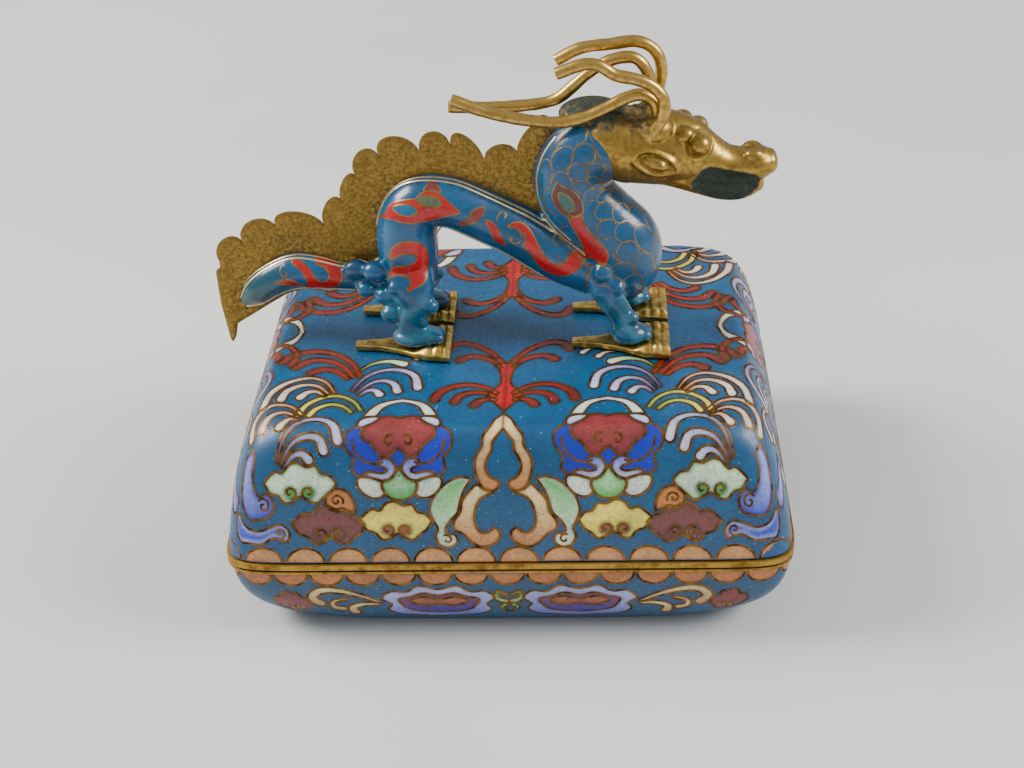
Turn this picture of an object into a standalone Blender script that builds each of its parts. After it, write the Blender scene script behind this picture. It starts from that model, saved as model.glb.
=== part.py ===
"""Cloisonne box with a dragon on its lid.

A hollow enamelled tray carries a hollow enamelled lid, brass rim on brass rim.
The dragon stands on four brass foot plates along the middle of the lid.
Units are metres, +Z is up, the tray stands on the plane z = 0, and the dragon looks along +X.
The figure is posed in its own unit, a share of its length, from the middle of the lid's top.
"""
import math

import bmesh
import bpy
import numpy as np
from mathutils import Matrix, Vector

# Driving sizes of the box, in metres
RIM_WIDTH = 0.105
RIM_DEPTH = 0.082
CORNER_POWER = 16.0
LID_TOP_POWER = 7.0
TRAY_FOOT_POWER = 5.5
WALL = 0.0020
FLOOR = 0.0022
TRAY_HEIGHT = 0.0163
TRAY_TUCK = 0.0060
TRAY_TUCK_POWER = 2.7
FOOT_CHAMFER = 0.0010
TRAY_RIM_HEIGHT = 0.0006
LID_RIM_HEIGHT = 0.0013
RIM_PROUD = 0.0005
LIP_RISE = 0.0030
LIP_THICKNESS = 0.0010
LIP_CLEARANCE = 0.0005
LID_RISE = 0.0244
SHOULDER = 0.0095
SHOULDER_ROUND = 2.3
SHOULDER_CROWN = 0.87
GAP = 0.0003

# Driving sizes of the figure, in metres
DRAGON_LENGTH = 0.1060
FIGURE_UNITS = 106.0
PLATE_THICKNESS = 0.0012
CREST_THICKNESS = 0.0009
HORN_RADIUS = 0.0011

# Places worked out from the sizes above
TRAY_RIM_BOTTOM = TRAY_HEIGHT + GAP
TRAY_RIM_TOP = TRAY_RIM_BOTTOM + TRAY_RIM_HEIGHT
LID_RIM_BOTTOM = TRAY_RIM_TOP + GAP
LID_RIM_TOP = LID_RIM_BOTTOM + LID_RIM_HEIGHT
LID_BOTTOM = LID_RIM_TOP + GAP
LID_TOP = LID_BOTTOM + LID_RISE
PLATE_BOTTOM = LID_TOP + GAP
PLATE_TOP = PLATE_BOTTOM + PLATE_THICKNESS
SOLE = PLATE_TOP + GAP
UNIT = DRAGON_LENGTH / FIGURE_UNITS

# Fineness of the facets
PLAN_POINTS = 44
SIDES = 12
HORN_SIDES = 6
TRAY_OUTSIDE_SHARES = (0.06, 0.2, 0.4, 0.66, 1.0)
TRAY_INSIDE_SHARES = (1.0, 0.6, 0.25, 0.0)
LID_OUTSIDE_SHARES = (1.0, 0.78, 0.58, 0.4, 0.24, 0.1, 0.0)
LID_INSIDE_SHARES = (0.0, 0.12, 0.32, 0.6, 1.0)
LOBE_DEGREES = (40, 90, 140, 180)
SHARPEST_MITRE = 0.2


def clear_scene():
    """Remove every object that the file holds."""
    for obj in list(bpy.data.objects):
        bpy.data.objects.remove(obj, do_unlink=True)


def make_material(name, colour, roughness, metallic):
    """A plain Principled material for one piece."""
    material = bpy.data.materials.new(name)
    material.use_nodes = True
    shader = material.node_tree.nodes["Principled BSDF"]
    shader.inputs["Base Color"].default_value = (*colour, 1.0)
    shader.inputs["Roughness"].default_value = roughness
    shader.inputs["Metallic"].default_value = metallic
    return material


def add_object(name, vertices, faces):
    """A mesh object with its faces pointing outwards."""
    mesh = bpy.data.meshes.new(name)
    mesh.from_pydata([tuple(float(c) for c in v) for v in vertices], [], [list(f) for f in faces])
    shell = bmesh.new()
    shell.from_mesh(mesh)
    bmesh.ops.recalc_face_normals(shell, faces=shell.faces[:])
    shell.to_mesh(mesh)
    shell.free()
    obj = bpy.data.objects.new(name, mesh)
    bpy.context.scene.collection.objects.link(obj)
    return obj


def finish(obj, colour, roughness, metallic):
    """Give a piece its own material."""
    obj.data.materials.clear()
    obj.data.materials.append(make_material(obj.name + "_finish", colour, roughness, metallic))
    return obj


def plan_ring(inset, height, power):
    """Points of the box's plan, a superellipse drawn in by inset, at one height."""
    angle = np.linspace(0.0, 2.0 * math.pi, PLAN_POINTS, endpoint=False)
    along = np.sign(np.cos(angle)) * np.abs(np.cos(angle)) ** (2.0 / power)
    across = np.sign(np.sin(angle)) * np.abs(np.sin(angle)) ** (2.0 / power)
    x = (RIM_WIDTH / 2.0 - inset) * along
    y = (RIM_DEPTH / 2.0 - inset) * across
    return np.stack([x, y, np.full(PLAN_POINTS, height)], axis=1)


def bridge(ring_count, points, closed):
    """Quads between neighbouring rings, and from the last ring to the first where closed."""
    faces = []
    last = ring_count if closed else ring_count - 1
    for ring in range(last):
        upper = (ring + 1) % ring_count
        for point in range(points):
            after = (point + 1) % points
            faces.append((ring * points + point, ring * points + after,
                          upper * points + after, upper * points + point))
    return faces


def shell_of_rings(name, rings):
    """A closed bowl: rings from the outer cap to the inner cap, (inset, height, power)."""
    vertices = np.concatenate([plan_ring(*ring) for ring in rings])
    faces = bridge(len(rings), PLAN_POINTS, closed=False)
    faces.append(tuple(range(PLAN_POINTS)))
    start = (len(rings) - 1) * PLAN_POINTS
    faces.append(tuple(range(start, start + PLAN_POINTS)))
    return add_object(name, vertices, faces)


def band_of_rings(name, section):
    """A closed band: a section of (inset, height) points carried round the plan."""
    vertices = np.concatenate([plan_ring(inset, height, CORNER_POWER) for inset, height in section])
    return add_object(name, vertices, bridge(len(section), PLAN_POINTS, closed=True))


def tray_inset(height):
    """How far the tray's side is drawn in at one height, growing as a power towards the foot."""
    return TRAY_TUCK * (1.0 - height / TRAY_HEIGHT) ** TRAY_TUCK_POWER


def tray_power(height):
    """The plan's corner power, from square at the rim to rounder at the foot."""
    share = height / TRAY_HEIGHT
    return TRAY_FOOT_POWER + (CORNER_POWER - TRAY_FOOT_POWER) * share


def build_tray():
    """The hollow lower half, from its flat underside up the outside and down the inside."""
    rings = [(TRAY_TUCK + FOOT_CHAMFER, 0.0, TRAY_FOOT_POWER)]
    for share in TRAY_OUTSIDE_SHARES:
        height = TRAY_HEIGHT * share
        rings.append((tray_inset(height), height, tray_power(height)))
    for share in TRAY_INSIDE_SHARES:
        height = FLOOR + (TRAY_HEIGHT - FLOOR) * share
        rings.append((tray_inset(height) + WALL, height, tray_power(height)))
    return shell_of_rings("tray", rings)


def build_tray_rim():
    """The tray's brass strip, with the lip that stands up inside the lid's rim."""
    lip_outer = WALL + LIP_CLEARANCE
    lip_inner = lip_outer + LIP_THICKNESS
    lip_top = TRAY_RIM_TOP + LIP_RISE
    section = [(-RIM_PROUD, TRAY_RIM_BOTTOM), (-RIM_PROUD, TRAY_RIM_TOP), (lip_outer, TRAY_RIM_TOP),
               (lip_outer, lip_top), (lip_inner, lip_top), (lip_inner, TRAY_RIM_BOTTOM)]
    return band_of_rings("tray_rim", section)


def build_lid_rim():
    """The lid's brass strip."""
    section = [(-RIM_PROUD, LID_RIM_BOTTOM), (-RIM_PROUD, LID_RIM_TOP),
               (WALL, LID_RIM_TOP), (WALL, LID_RIM_BOTTOM)]
    return band_of_rings("lid_rim", section)


def lid_ring(share, wall):
    """One ring of the lid: inset share of the shoulder, height by a rounded power curve."""
    rise = LID_RISE - wall
    height = rise * (1.0 - (1.0 - share) ** SHOULDER_ROUND) ** SHOULDER_CROWN
    power = CORNER_POWER + (LID_TOP_POWER - CORNER_POWER) * share
    return (SHOULDER * share + wall, LID_BOTTOM + height, power)


def build_lid():
    """The hollow upper half, from its flat top down the outside and up the inside."""
    outer = [lid_ring(share, 0.0) for share in LID_OUTSIDE_SHARES]
    inner = [lid_ring(share, WALL) for share in LID_INSIDE_SHARES]
    return shell_of_rings("lid", outer + inner)


def place(x, y, z):
    """A point of the figure, from its own units above the lid's top to metres."""
    return Vector((x * UNIT, y * UNIT, LID_TOP + z * UNIT))


def smooth_stations(stations, steps):
    """Rows of numbers along a limb, with smooth rows put between them by a Catmull-Rom curve."""
    rows = np.array(stations, dtype=float)
    padded = np.concatenate([2.0 * rows[:1] - rows[1:2], rows, 2.0 * rows[-1:] - rows[-2:-1]])
    result = []
    for start in range(len(rows) - 1):
        a, b, c, d = padded[start:start + 4]
        for step in range(steps):
            t = step / steps
            result.append(0.5 * (2.0 * b + (c - a) * t + (2.0 * a - 5.0 * b + 4.0 * c - d) * t ** 2
                                 + (3.0 * b - a - 3.0 * c + d) * t ** 3))
    result.append(rows[-1])
    return np.array(result)


def limb(name, stations, sides=SIDES, steps=2, start_along=None, end_along=None):
    """A closed loft through (x, y, z, half width, half height) stations of the figure.

    Each ring stands square to the path. start_along and end_along turn the first and last ring.
    """
    rows = smooth_stations(stations, steps)
    centres = [place(*row[:3]) for row in rows]
    vertices = []
    for index, row in enumerate(rows):
        before = centres[max(index - 1, 0)]
        after = centres[min(index + 1, len(rows) - 1)]
        along = (after - before).normalized()
        if start_along is not None and index == 0:
            along = Vector(start_along).normalized()
        if end_along is not None and index == len(rows) - 1:
            along = Vector(end_along).normalized()
        side = (Vector((0, 1, 0)) - along * along.y).normalized()
        up = along.cross(side)
        for turn in range(sides):
            angle = 2.0 * math.pi * turn / sides
            reach = side * (row[3] * UNIT * math.cos(angle)) + up * (row[4] * UNIT * math.sin(angle))
            vertices.append(centres[index] + reach)
    faces = bridge(len(rows), sides, closed=False)
    faces.append(tuple(range(sides)))
    start = (len(rows) - 1) * sides
    faces.append(tuple(range(start, start + sides)))
    return add_object(name, vertices, faces)


def knob(name, centre, radii, segments=7, rings=5):
    """An egg-shaped lump of the figure."""
    ball = bmesh.new()
    bmesh.ops.create_uvsphere(ball, u_segments=segments, v_segments=rings, radius=1.0)
    size = Matrix.Diagonal((radii[0] * UNIT, radii[1] * UNIT, radii[2] * UNIT, 1.0))
    bmesh.ops.transform(ball, matrix=Matrix.Translation(place(*centre)) @ size, verts=ball.verts[:])
    mesh = bpy.data.meshes.new(name)
    ball.to_mesh(mesh)
    ball.free()
    obj = bpy.data.objects.new(name, mesh)
    bpy.context.scene.collection.objects.link(obj)
    return obj


def combine(obj, tools, operation):
    """Join the tools to an object, or cut them from it, and remove them."""
    for tool in tools:
        modifier = obj.modifiers.new(operation.lower(), "BOOLEAN")
        modifier.operation = operation
        modifier.solver = "EXACT"
        modifier.object = tool
        bpy.context.view_layer.update()
        depsgraph = bpy.context.evaluated_depsgraph_get()
        mesh = bpy.data.meshes.new_from_object(obj.evaluated_get(depsgraph), depsgraph=depsgraph)
        obj.modifiers.clear()
        obj.data = mesh
        bpy.data.objects.remove(tool, do_unlink=True)
    return obj


def both_sides(make, *rows):
    """Build a thing on the near side and mirror its rows to the far side."""
    mirrored = [[(row[0], -row[1], *row[2:]) for row in group] for group in rows]
    return [make(*rows), make(*mirrored)]


def cut_level(obj, height):
    """Cut an object flat at one height and keep what is above."""
    mesh = bmesh.new()
    mesh.from_mesh(obj.data)
    geometry = mesh.verts[:] + mesh.edges[:] + mesh.faces[:]
    cut = bmesh.ops.bisect_plane(mesh, geom=geometry, dist=1e-7, plane_co=(0, 0, height),
                                 plane_no=(0, 0, -1), clear_outer=True)
    edges = [item for item in cut["geom_cut"] if isinstance(item, bmesh.types.BMEdge)]
    bmesh.ops.holes_fill(mesh, edges=edges, sides=0)
    bmesh.ops.recalc_face_normals(mesh, faces=mesh.faces[:])
    mesh.to_mesh(obj.data)
    mesh.free()
    return obj


# The figure's path: rows of x, y, z, half width and half height in figure units
TORSO = [(-18.4, 0, 10.5, 5.0, 4.4), (-18.5, 0, 18.0, 6.4, 5.7), (-18.0, 0, 24.5, 6.2, 5.7),
         (-15.2, 0, 28.2, 5.8, 5.5), (-10.0, 0, 28.4, 5.4, 5.0), (-4.0, 0, 25.6, 5.4, 5.0),
         (3.0, 0, 21.8, 5.6, 5.2), (10.0, 0, 17.0, 5.8, 5.4), (16.5, 0, 13.6, 5.8, 5.2)]
NECK = [(21.0, 0, 8.6, 3.6, 4.2), (21.9, 0, 13.2, 6.2, 6.9), (21.3, 0, 18.6, 6.8, 7.9),
        (17.4, 0, 23.6, 6.6, 7.5), (13.7, 0, 28.6, 6.2, 7.2), (12.8, 0, 33.4, 6.2, 7.0),
        (14.8, 0, 37.4, 6.4, 6.9), (18.2, 0, 39.3, 6.6, 6.9)]
NECK_END = (0.83, 0.0, 0.56)
TAIL = [(-18.0, 0, 14.0, 3.4, 3.4), (-25.0, 0, 12.9, 3.4, 3.2), (-31.0, 0, 12.9, 3.0, 2.9),
        (-36.5, 0, 14.0, 3.5, 3.6), (-40.5, 0, 14.2, 3.7, 3.8), (-44.8, 0, 12.4, 3.5, 3.5),
        (-48.4, 0, 9.7, 2.9, 3.0), (-50.9, 0, 7.6, 1.4, 1.5)]
REAR_LEG = [(-18.6, -2.6, 16.0, 3.2, 4.6), (-17.9, -4.4, 12.4, 3.2, 4.6), (-17.2, -5.6, 9.2, 2.6, 3.3),
            (-18.4, -6.2, 6.2, 2.2, 2.5), (-18.4, -6.5, 3.4, 2.4, 2.9), (-18.0, -6.6, 1.2, 2.2, 2.6)]
FRONT_LEG = [(19.4, -2.6, 16.0, 3.0, 4.0), (18.6, -4.8, 12.6, 2.8, 3.3), (19.8, -5.8, 9.8, 2.3, 2.7),
             (21.5, -6.3, 6.8, 2.1, 2.4), (22.4, -6.6, 3.8, 2.2, 2.6), (22.6, -6.7, 1.2, 2.2, 2.6)]
REAR_KNOBS = [((-28.3, -2.6, 15.4), (2.4, 2.0, 2.2)), ((-24.6, -4.2, 15.8), (2.2, 2.2, 2.0)),
              ((-26.6, -3.2, 11.6), (2.0, 1.9, 1.7)), ((-23.0, -4.2, 10.6), (2.1, 1.9, 1.9)),
              ((-21.9, -5.7, 7.3), (2.2, 1.9, 1.9)), ((-14.4, -6.4, 9.2), (1.7, 1.5, 1.6))]
FRONT_KNOBS = [((18.2, -6.0, 15.4), (1.9, 1.6, 2.2)), ((17.6, -6.6, 11.8), (1.6, 1.5, 1.7))]
REAR_PAW = ((-17.2, -6.8, 2.7), (5.1, 3.3, 2.3))
FRONT_PAW = ((23.2, -6.9, 2.8), (3.7, 3.0, 2.5))

# The crest's outline in figure units: valleys between lobes and tops of lobes, from neck to tail
CREST_VALLEYS = [(9.4, 43.8), (6.6, 43.0), (3.2, 37.4), (-2.9, 35.4), (-9.1, 39.0), (-14.9, 38.5),
                 (-22.3, 37.6), (-26.9, 33.6), (-30.0, 28.2), (-33.9, 23.6), (-42.9, 23.2), (-49.7, 20.0),
                 (-54.9, 16.4)]
CREST_TOPS = [(7.4, 45.0), (3.9, 40.9), (-0.9, 39.3), (-6.6, 41.5), (-12.4, 42.3), (-20.1, 41.5),
              (-26.2, 38.5), (-29.6, 32.8), (-32.9, 28.6), (-40.2, 26.6), (-47.9, 24.8), (-53.6, 21.0)]
CREST_TIP = [(-54.9, 15.0), (-55.9, 14.2), (-55.9, 7.0), (-55.1, -1.0), (-54.7, -1.9), (-53.9, -0.6),
             (-53.2, 2.4), (-50.0, 4.4), (-45.6, 7.2), (-42.2, 9.2), (-39.6, 9.8)]
CREST_ROOT = [(-40.2, 11.8), (-43.6, 10.9), (-47.2, 8.6), (-49.8, 7.9), (-50.1, 9.0), (-49.1, 11.2),
              (-45.9, 14.2), (-40.4, 16.7), (-36.5, 16.2), (-31.0, 14.5), (-25.0, 14.8), (-22.9, 18.0),
              (-22.2, 25.6), (-20.2, 29.6), (-17.0, 31.6), (-10.0, 32.1), (-4.0, 29.9), (3.0, 26.2),
              (7.6, 24.4), (8.1, 28.5), (7.3, 33.4), (8.2, 37.6), (10.8, 41.2)]

# The head's path, from the neck's end to the nose: x, y, z, half width and half height
HEAD = [(24.5, 0, 39.0, 6.6, 7.2), (30.2, 0, 38.2, 6.1, 7.0), (33.8, 0, 37.4, 5.5, 6.2),
        (37.4, 0, 36.2, 4.4, 4.6), (41.0, 0, 35.3, 3.7, 3.0), (44.4, 0, 34.9, 3.6, 2.7),
        (47.2, 0, 35.0, 3.4, 3.0), (49.0, 0, 35.2, 2.5, 2.2)]
JAW = [(25.0, 0, 36.0, 4.6, 3.6), (31.0, 0, 34.2, 4.6, 3.2), (36.0, 0, 32.1, 3.8, 2.9),
       (40.5, 0, 30.8, 3.5, 3.0), (43.8, 0, 30.9, 3.2, 3.0), (46.6, 0, 31.6, 2.2, 2.3)]
HEAD_KNOBS = [((35.6, -4.0, 39.9), (2.1, 1.9, 2.1)), ((32.8, -3.7, 42.1), (1.9, 1.7, 1.5)),
              ((45.6, -1.7, 37.0), (1.9, 1.3, 1.3)), ((28.3, -5.6, 36.4), (4.6, 1.5, 2.3)),
              ((29.6, -2.8, 43.2), (3.2, 2.4, 2.6))]
SOLDER = ((16.6, 0.0, 45.4), (6.0, 4.4, 2.6))

# The horns, bent wires from their free ends to their sockets in the brow
HORNS = {
    "horn_near_long": [(-8.2, -2.8, 49.6), (-1.6, -2.9, 47.0), (5.1, -3.2, 45.6), (10.8, -3.6, 45.2),
                       (15.0, -3.6, 46.0), (19.0, -3.4, 47.6), (22.4, -3.0, 49.2), (25.2, -2.8, 49.8),
                       (27.6, -2.8, 48.4), (28.2, -2.8, 45.8), (27.6, -2.6, 42.6)],
    "horn_near_upper": [(10.6, -5.4, 55.2), (14.9, -5.4, 56.7), (17.8, -5.4, 56.6), (20.8, -5.4, 54.7),
                        (24.4, -5.4, 53.8), (27.3, -5.4, 52.4), (29.2, -5.4, 49.8), (29.0, -5.4, 46.4),
                        (26.6, -5.0, 42.4)],
    "horn_far_long": [(-9.2, 2.6, 45.9), (-1.6, 2.6, 45.6), (6.2, 2.6, 46.0), (10.4, 2.6, 47.0),
                      (13.4, 2.6, 49.4), (16.4, 2.6, 52.0), (20.4, 2.6, 54.2), (24.4, 2.6, 54.4),
                      (26.8, 2.6, 51.2), (27.4, 2.6, 46.4), (27.2, 2.6, 42.6)],
    "horn_far_upper": [(10.4, 5.2, 53.3), (14.9, 5.2, 55.5), (20.2, 5.2, 56.1), (24.8, 5.2, 56.5),
                       (27.9, 5.2, 54.8), (29.2, 5.2, 51.4), (28.6, 5.2, 46.6), (26.8, 4.9, 42.4)],
}

# The foot plates, in figure units: a spur behind, a broad toe end in front
FOOT_MIDDLE = 6.5
REAR_FOOT_START = -29.2
FRONT_FOOT_START = 12.3
FOOT_OUTLINE = [(0.0, 1.0), (5.0, 1.5), (9.5, 3.0), (13.6, 5.2), (18.4, 5.8)]
TOE_ACROSS = (-3.8, 0.0, 3.8)
TOE_PATH = [(12.4, 1.5, 0.9, 0.6), (15.6, 1.7, 1.6, 1.3), (18.4, 1.2, 0.9, 0.6)]


def lobes(valleys, tops):
    """Half an ellipse through each top, from the valley before it to the valley after it."""
    outline = [valleys[0]]
    for start, top, end in zip(valleys, tops, valleys[1:]):
        middle = ((start[0] + end[0]) / 2.0, (start[1] + end[1]) / 2.0)
        for degrees in LOBE_DEGREES:
            along = math.cos(math.radians(degrees))
            out = math.sin(math.radians(degrees))
            outline.append(tuple(middle[k] + (start[k] - middle[k]) * along + (top[k] - middle[k]) * out
                                 for k in (0, 1)))
    return outline


def spread_outline(outline, distance):
    """Move each point of an outline outwards, square to the edges on its two sides."""
    points = np.array(outline)
    edges = np.roll(points, -1, axis=0) - points
    area = np.sum(points[:, 0] * np.roll(points[:, 1], -1) - np.roll(points[:, 0], -1) * points[:, 1])
    turn = math.copysign(1.0, area)
    normals = np.stack([edges[:, 1], -edges[:, 0]], axis=1) * turn
    normals /= np.linalg.norm(normals, axis=1)[:, None]
    corner = normals + np.roll(normals, 1, axis=0)
    corner /= np.maximum(np.linalg.norm(corner, axis=1)[:, None], SHARPEST_MITRE)
    return [tuple(row) for row in points + corner * distance]


def upright_plate(name, outline, thickness):
    """A flat plate of the figure, standing in its middle plane."""
    vertices = []
    for y in (-thickness / 2.0, thickness / 2.0):
        for x, z in outline:
            point = place(x, 0.0, z)
            vertices.append((point.x, y, point.z))
    count = len(outline)
    faces = [tuple(range(count)), tuple(range(count, 2 * count))]
    faces += bridge(2, count, closed=False)
    return add_object(name, vertices, faces)


def crest_plate():
    """The crest with its round lobes."""
    outline = lobes(CREST_VALLEYS, CREST_TOPS) + CREST_TIP + CREST_ROOT
    return upright_plate("crest", outline, CREST_THICKNESS)


def crest_slot():
    """The slot that the crest stands in, with some play round its root and sides."""
    outline = spread_outline(CREST_VALLEYS + CREST_TIP + CREST_ROOT, GAP / UNIT)
    return upright_plate("crest_slot", outline, CREST_THICKNESS + 2.0 * GAP)


def horn(name, play):
    """One bent wire, or with some play the groove and socket that it is set in."""
    radius = (HORN_RADIUS + play) / UNIT
    stations = [(*point, radius, radius) for point in HORNS[name]]
    x, y, z = HORNS[name][-1]
    stations[-1] = (x, y, z - play / UNIT, radius, radius)
    return limb(name, stations, sides=HORN_SIDES, steps=2)


def neck(name, play):
    """The neck and chest, or with some play the space that they take out of the head."""
    spread = play / UNIT
    rows = [(x, y, z, wide + spread, high + spread) for x, y, z, wide, high in NECK]
    x, y, z, wide, high = rows[-1]
    rows[-1] = (x + spread * NECK_END[0], y, z + spread * NECK_END[2], wide, high)
    return limb(name, rows, end_along=NECK_END)


def build_body():
    """The enamelled figure in one piece, with flat soles and a slot for the crest."""
    body = limb("dragon_body", TORSO)
    tools = [neck("neck", 0.0), limb("tail", TAIL, steps=1)]
    for leg in (REAR_LEG, FRONT_LEG):
        tools += both_sides(lambda rows: limb("leg", rows, sides=9, steps=1), leg)
    for centre, radii in REAR_KNOBS + FRONT_KNOBS + [REAR_PAW, FRONT_PAW]:
        for side in (1.0, -1.0):
            tools.append(knob("knob", (centre[0], centre[1] * side, centre[2]), radii))
    combine(body, tools, "UNION")
    cut_level(body, SOLE)
    return combine(body, [crest_slot()], "DIFFERENCE")


def build_head():
    """The cast head: skull and snout, jaw, eyes, brows, cheeks, nose and a lump of solder."""
    x, y, z, wide, high = NECK[-1]
    back = (x + NECK_END[0] * GAP / UNIT, y, z + NECK_END[2] * GAP / UNIT, wide, high)
    head = limb("dragon_head", [back] + HEAD, start_along=NECK_END)
    tools = [limb("jaw", JAW, sides=10, steps=1), knob("solder", *SOLDER, segments=10)]
    for side in (1.0, -1.0):
        for centre, radii in HEAD_KNOBS:
            tools.append(knob("knob", (centre[0], centre[1] * side, centre[2]), radii, segments=9))
    combine(head, tools, "UNION")
    cutters = [horn(name, GAP) for name in HORNS] + [neck("neck_space", GAP)]
    return combine(head, cutters, "DIFFERENCE")


def foot_plate(name, start, paw, side):
    """One brass foot: a flat plate with a spur behind, and three toes that clear the paw."""
    near = [(start + x, FOOT_MIDDLE * side + y) for x, y in FOOT_OUTLINE]
    far = [(start + x, FOOT_MIDDLE * side - y) for x, y in reversed(FOOT_OUTLINE)]
    outline = near + far
    vertices = []
    for height in (PLATE_BOTTOM, PLATE_TOP):
        for x, y in outline:
            vertices.append((x * UNIT, y * UNIT, height))
    count = len(outline)
    faces = [tuple(range(count)), tuple(range(count, 2 * count))]
    faces += bridge(2, count, closed=False)
    foot = add_object(name, vertices, faces)
    tools = []
    for across in TOE_ACROSS:
        rows = [(start + x, FOOT_MIDDLE * side + across, z, wide, high) for x, z, wide, high in TOE_PATH]
        tools.append(limb("toe", rows, sides=6, steps=1))
    combine(foot, tools, "UNION")
    cut_level(foot, PLATE_BOTTOM)
    (x, y, z), radii = paw
    space = knob("paw_space", (x, -y * side, z), [radius + GAP / UNIT for radius in radii])
    return combine(foot, [cut_level(space, PLATE_TOP)], "DIFFERENCE")


TURQUOISE = (0.02, 0.20, 0.35)
DARK_BRASS = (0.30, 0.19, 0.06)
BRIGHT_BRASS = (0.45, 0.30, 0.10)


def build():
    """Make every piece and give it its finish."""
    clear_scene()
    finish(build_tray(), TURQUOISE, 0.25, 0.0)
    finish(build_tray_rim(), DARK_BRASS, 0.4, 1.0)
    finish(build_lid_rim(), DARK_BRASS, 0.4, 1.0)
    finish(build_lid(), TURQUOISE, 0.25, 0.0)
    finish(build_body(), TURQUOISE, 0.25, 0.0)
    finish(crest_plate(), DARK_BRASS, 0.45, 1.0)
    finish(build_head(), BRIGHT_BRASS, 0.35, 1.0)
    for name in HORNS:
        finish(horn(name, 0.0), BRIGHT_BRASS, 0.35, 1.0)
    feet = (("foot_rear", REAR_FOOT_START, REAR_PAW), ("foot_front", FRONT_FOOT_START, FRONT_PAW))
    for name, start, paw in feet:
        finish(foot_plate(name + "_near", start, paw, -1.0), BRIGHT_BRASS, 0.35, 1.0)
        finish(foot_plate(name + "_far", start, paw, 1.0), BRIGHT_BRASS, 0.35, 1.0)


build()
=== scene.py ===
# %% [markdown]
# # A cloisonne box with a dragon on its lid
# Cloisonne is enamel on copper. Flat brass wires stand on edge on the metal and fence off small
# cells, each cell is filled with coloured glass, and all of it is fired and ground level.
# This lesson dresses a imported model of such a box: first the frame is loaded, then each piece is
# worked out as a surface with numpy and given its finish.

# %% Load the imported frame
import math

import bpy
import numpy as np
from mathutils import Matrix, Vector
from mathutils.bvhtree import BVHTree
from mathutils.geometry import delaunay_2d_cdt


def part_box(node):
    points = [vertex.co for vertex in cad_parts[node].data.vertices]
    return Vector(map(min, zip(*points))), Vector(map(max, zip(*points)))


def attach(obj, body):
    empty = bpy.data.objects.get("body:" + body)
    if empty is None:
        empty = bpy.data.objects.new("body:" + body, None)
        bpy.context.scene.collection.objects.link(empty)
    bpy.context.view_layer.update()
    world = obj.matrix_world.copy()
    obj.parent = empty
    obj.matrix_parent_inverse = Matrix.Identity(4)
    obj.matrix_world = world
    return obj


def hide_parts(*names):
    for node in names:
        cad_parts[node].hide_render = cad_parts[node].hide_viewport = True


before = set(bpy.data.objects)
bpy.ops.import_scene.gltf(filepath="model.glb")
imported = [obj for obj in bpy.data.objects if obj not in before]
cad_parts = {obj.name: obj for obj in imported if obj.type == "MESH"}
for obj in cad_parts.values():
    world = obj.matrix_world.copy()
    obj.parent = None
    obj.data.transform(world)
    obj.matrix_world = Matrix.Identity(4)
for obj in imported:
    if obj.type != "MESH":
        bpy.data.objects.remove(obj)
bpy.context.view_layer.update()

MM = 0.001
print("nodes in the frame:", sorted(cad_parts))

# %% [markdown]
# ## Sizes
# All drawing below is in millimetres. The outer sizes come from the frame's own boxes, and the
# few curves that a box can't tell, such as how the lid's shoulder rounds over, are named here.

# %% Sizes of the box in millimetres
def node_box(node):
    """Lowest and highest corner of a node, in millimetres."""
    low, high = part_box(node)
    return np.array(low) / MM, np.array(high) / MM


lid_low, lid_high = node_box("lid")
TRAY_TOP = node_box("tray")[1][2]
HALF_WIDTH = (lid_high[0] - lid_low[0]) / 2.0
HALF_DEPTH = (lid_high[1] - lid_low[1]) / 2.0
WALL = 2.0
FLOOR = 2.2
SHOULDER = 9.5
SHOULDER_ROUND = 2.3
SHOULDER_CROWN = 0.87
CORNER_POWER = 16.0
LID_TOP_POWER = 7.0
TRAY_FOOT_POWER = 5.5
TRAY_TUCK = 6.0
TRAY_TUCK_POWER = 2.7
FOOT_CHAMFER = 1.0
LID_BOTTOM, LID_TOP = lid_low[2], lid_high[2]
print("lid %.1f x %.1f mm, top at %.1f mm" % (2 * HALF_WIDTH, 2 * HALF_DEPTH, LID_TOP))

# %% [markdown]
# ## Colours
# Enamel colours are mixed as they would be named on a chart of glass frits, then turned
# from screen values into the linear values that a renderer adds and multiplies.

# %% A chart of the enamels and metals
def screen(red, green, blue):
    """Linear colour from screen values of 0 to 255: divide by 255, then raise to the power 2.2."""
    return (np.array([red, green, blue]) / 255.0) ** 2.2


TURQUOISE = screen(0, 84, 124)
DEEP_TURQUOISE = screen(4, 64, 96)
ROYAL = screen(20, 46, 176)
PERIWINKLE = screen(84, 100, 205)
LILAC = screen(184, 188, 232)
MAROON = screen(132, 50, 48)
PLUM = screen(118, 62, 58)
RED = screen(196, 0, 0)
DUSTY_RED = screen(120, 44, 40)
YELLOW = screen(255, 230, 92)
PALE_GREEN = screen(222, 244, 204)
LEAF_GREEN = screen(84, 184, 80)
CREAM = screen(248, 228, 160)
ORANGE = screen(212, 128, 62)
PEACH = screen(218, 154, 92)
WHITE = screen(236, 238, 222)
PALE_LILAC = screen(206, 210, 232)
print("enamel chart ready")

# %% [markdown]
# ## Putting arrays into meshes
# Every piece is first a numpy array of points and a few arrays of faces. One helper hands them to
# Blender in whole blocks. It also looks at the volume that the faces close in: a negative one
# means that they point inwards, and then every face is turned over.

# %% Helpers for meshes
def unit(rows):
    """Each row made one long."""
    return rows / np.maximum(np.linalg.norm(rows, axis=-1, keepdims=True), 1e-12)


def angles(count):
    """Even steps round a full circle."""
    return np.linspace(0.0, 2.0 * math.pi, count, endpoint=False)


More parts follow.
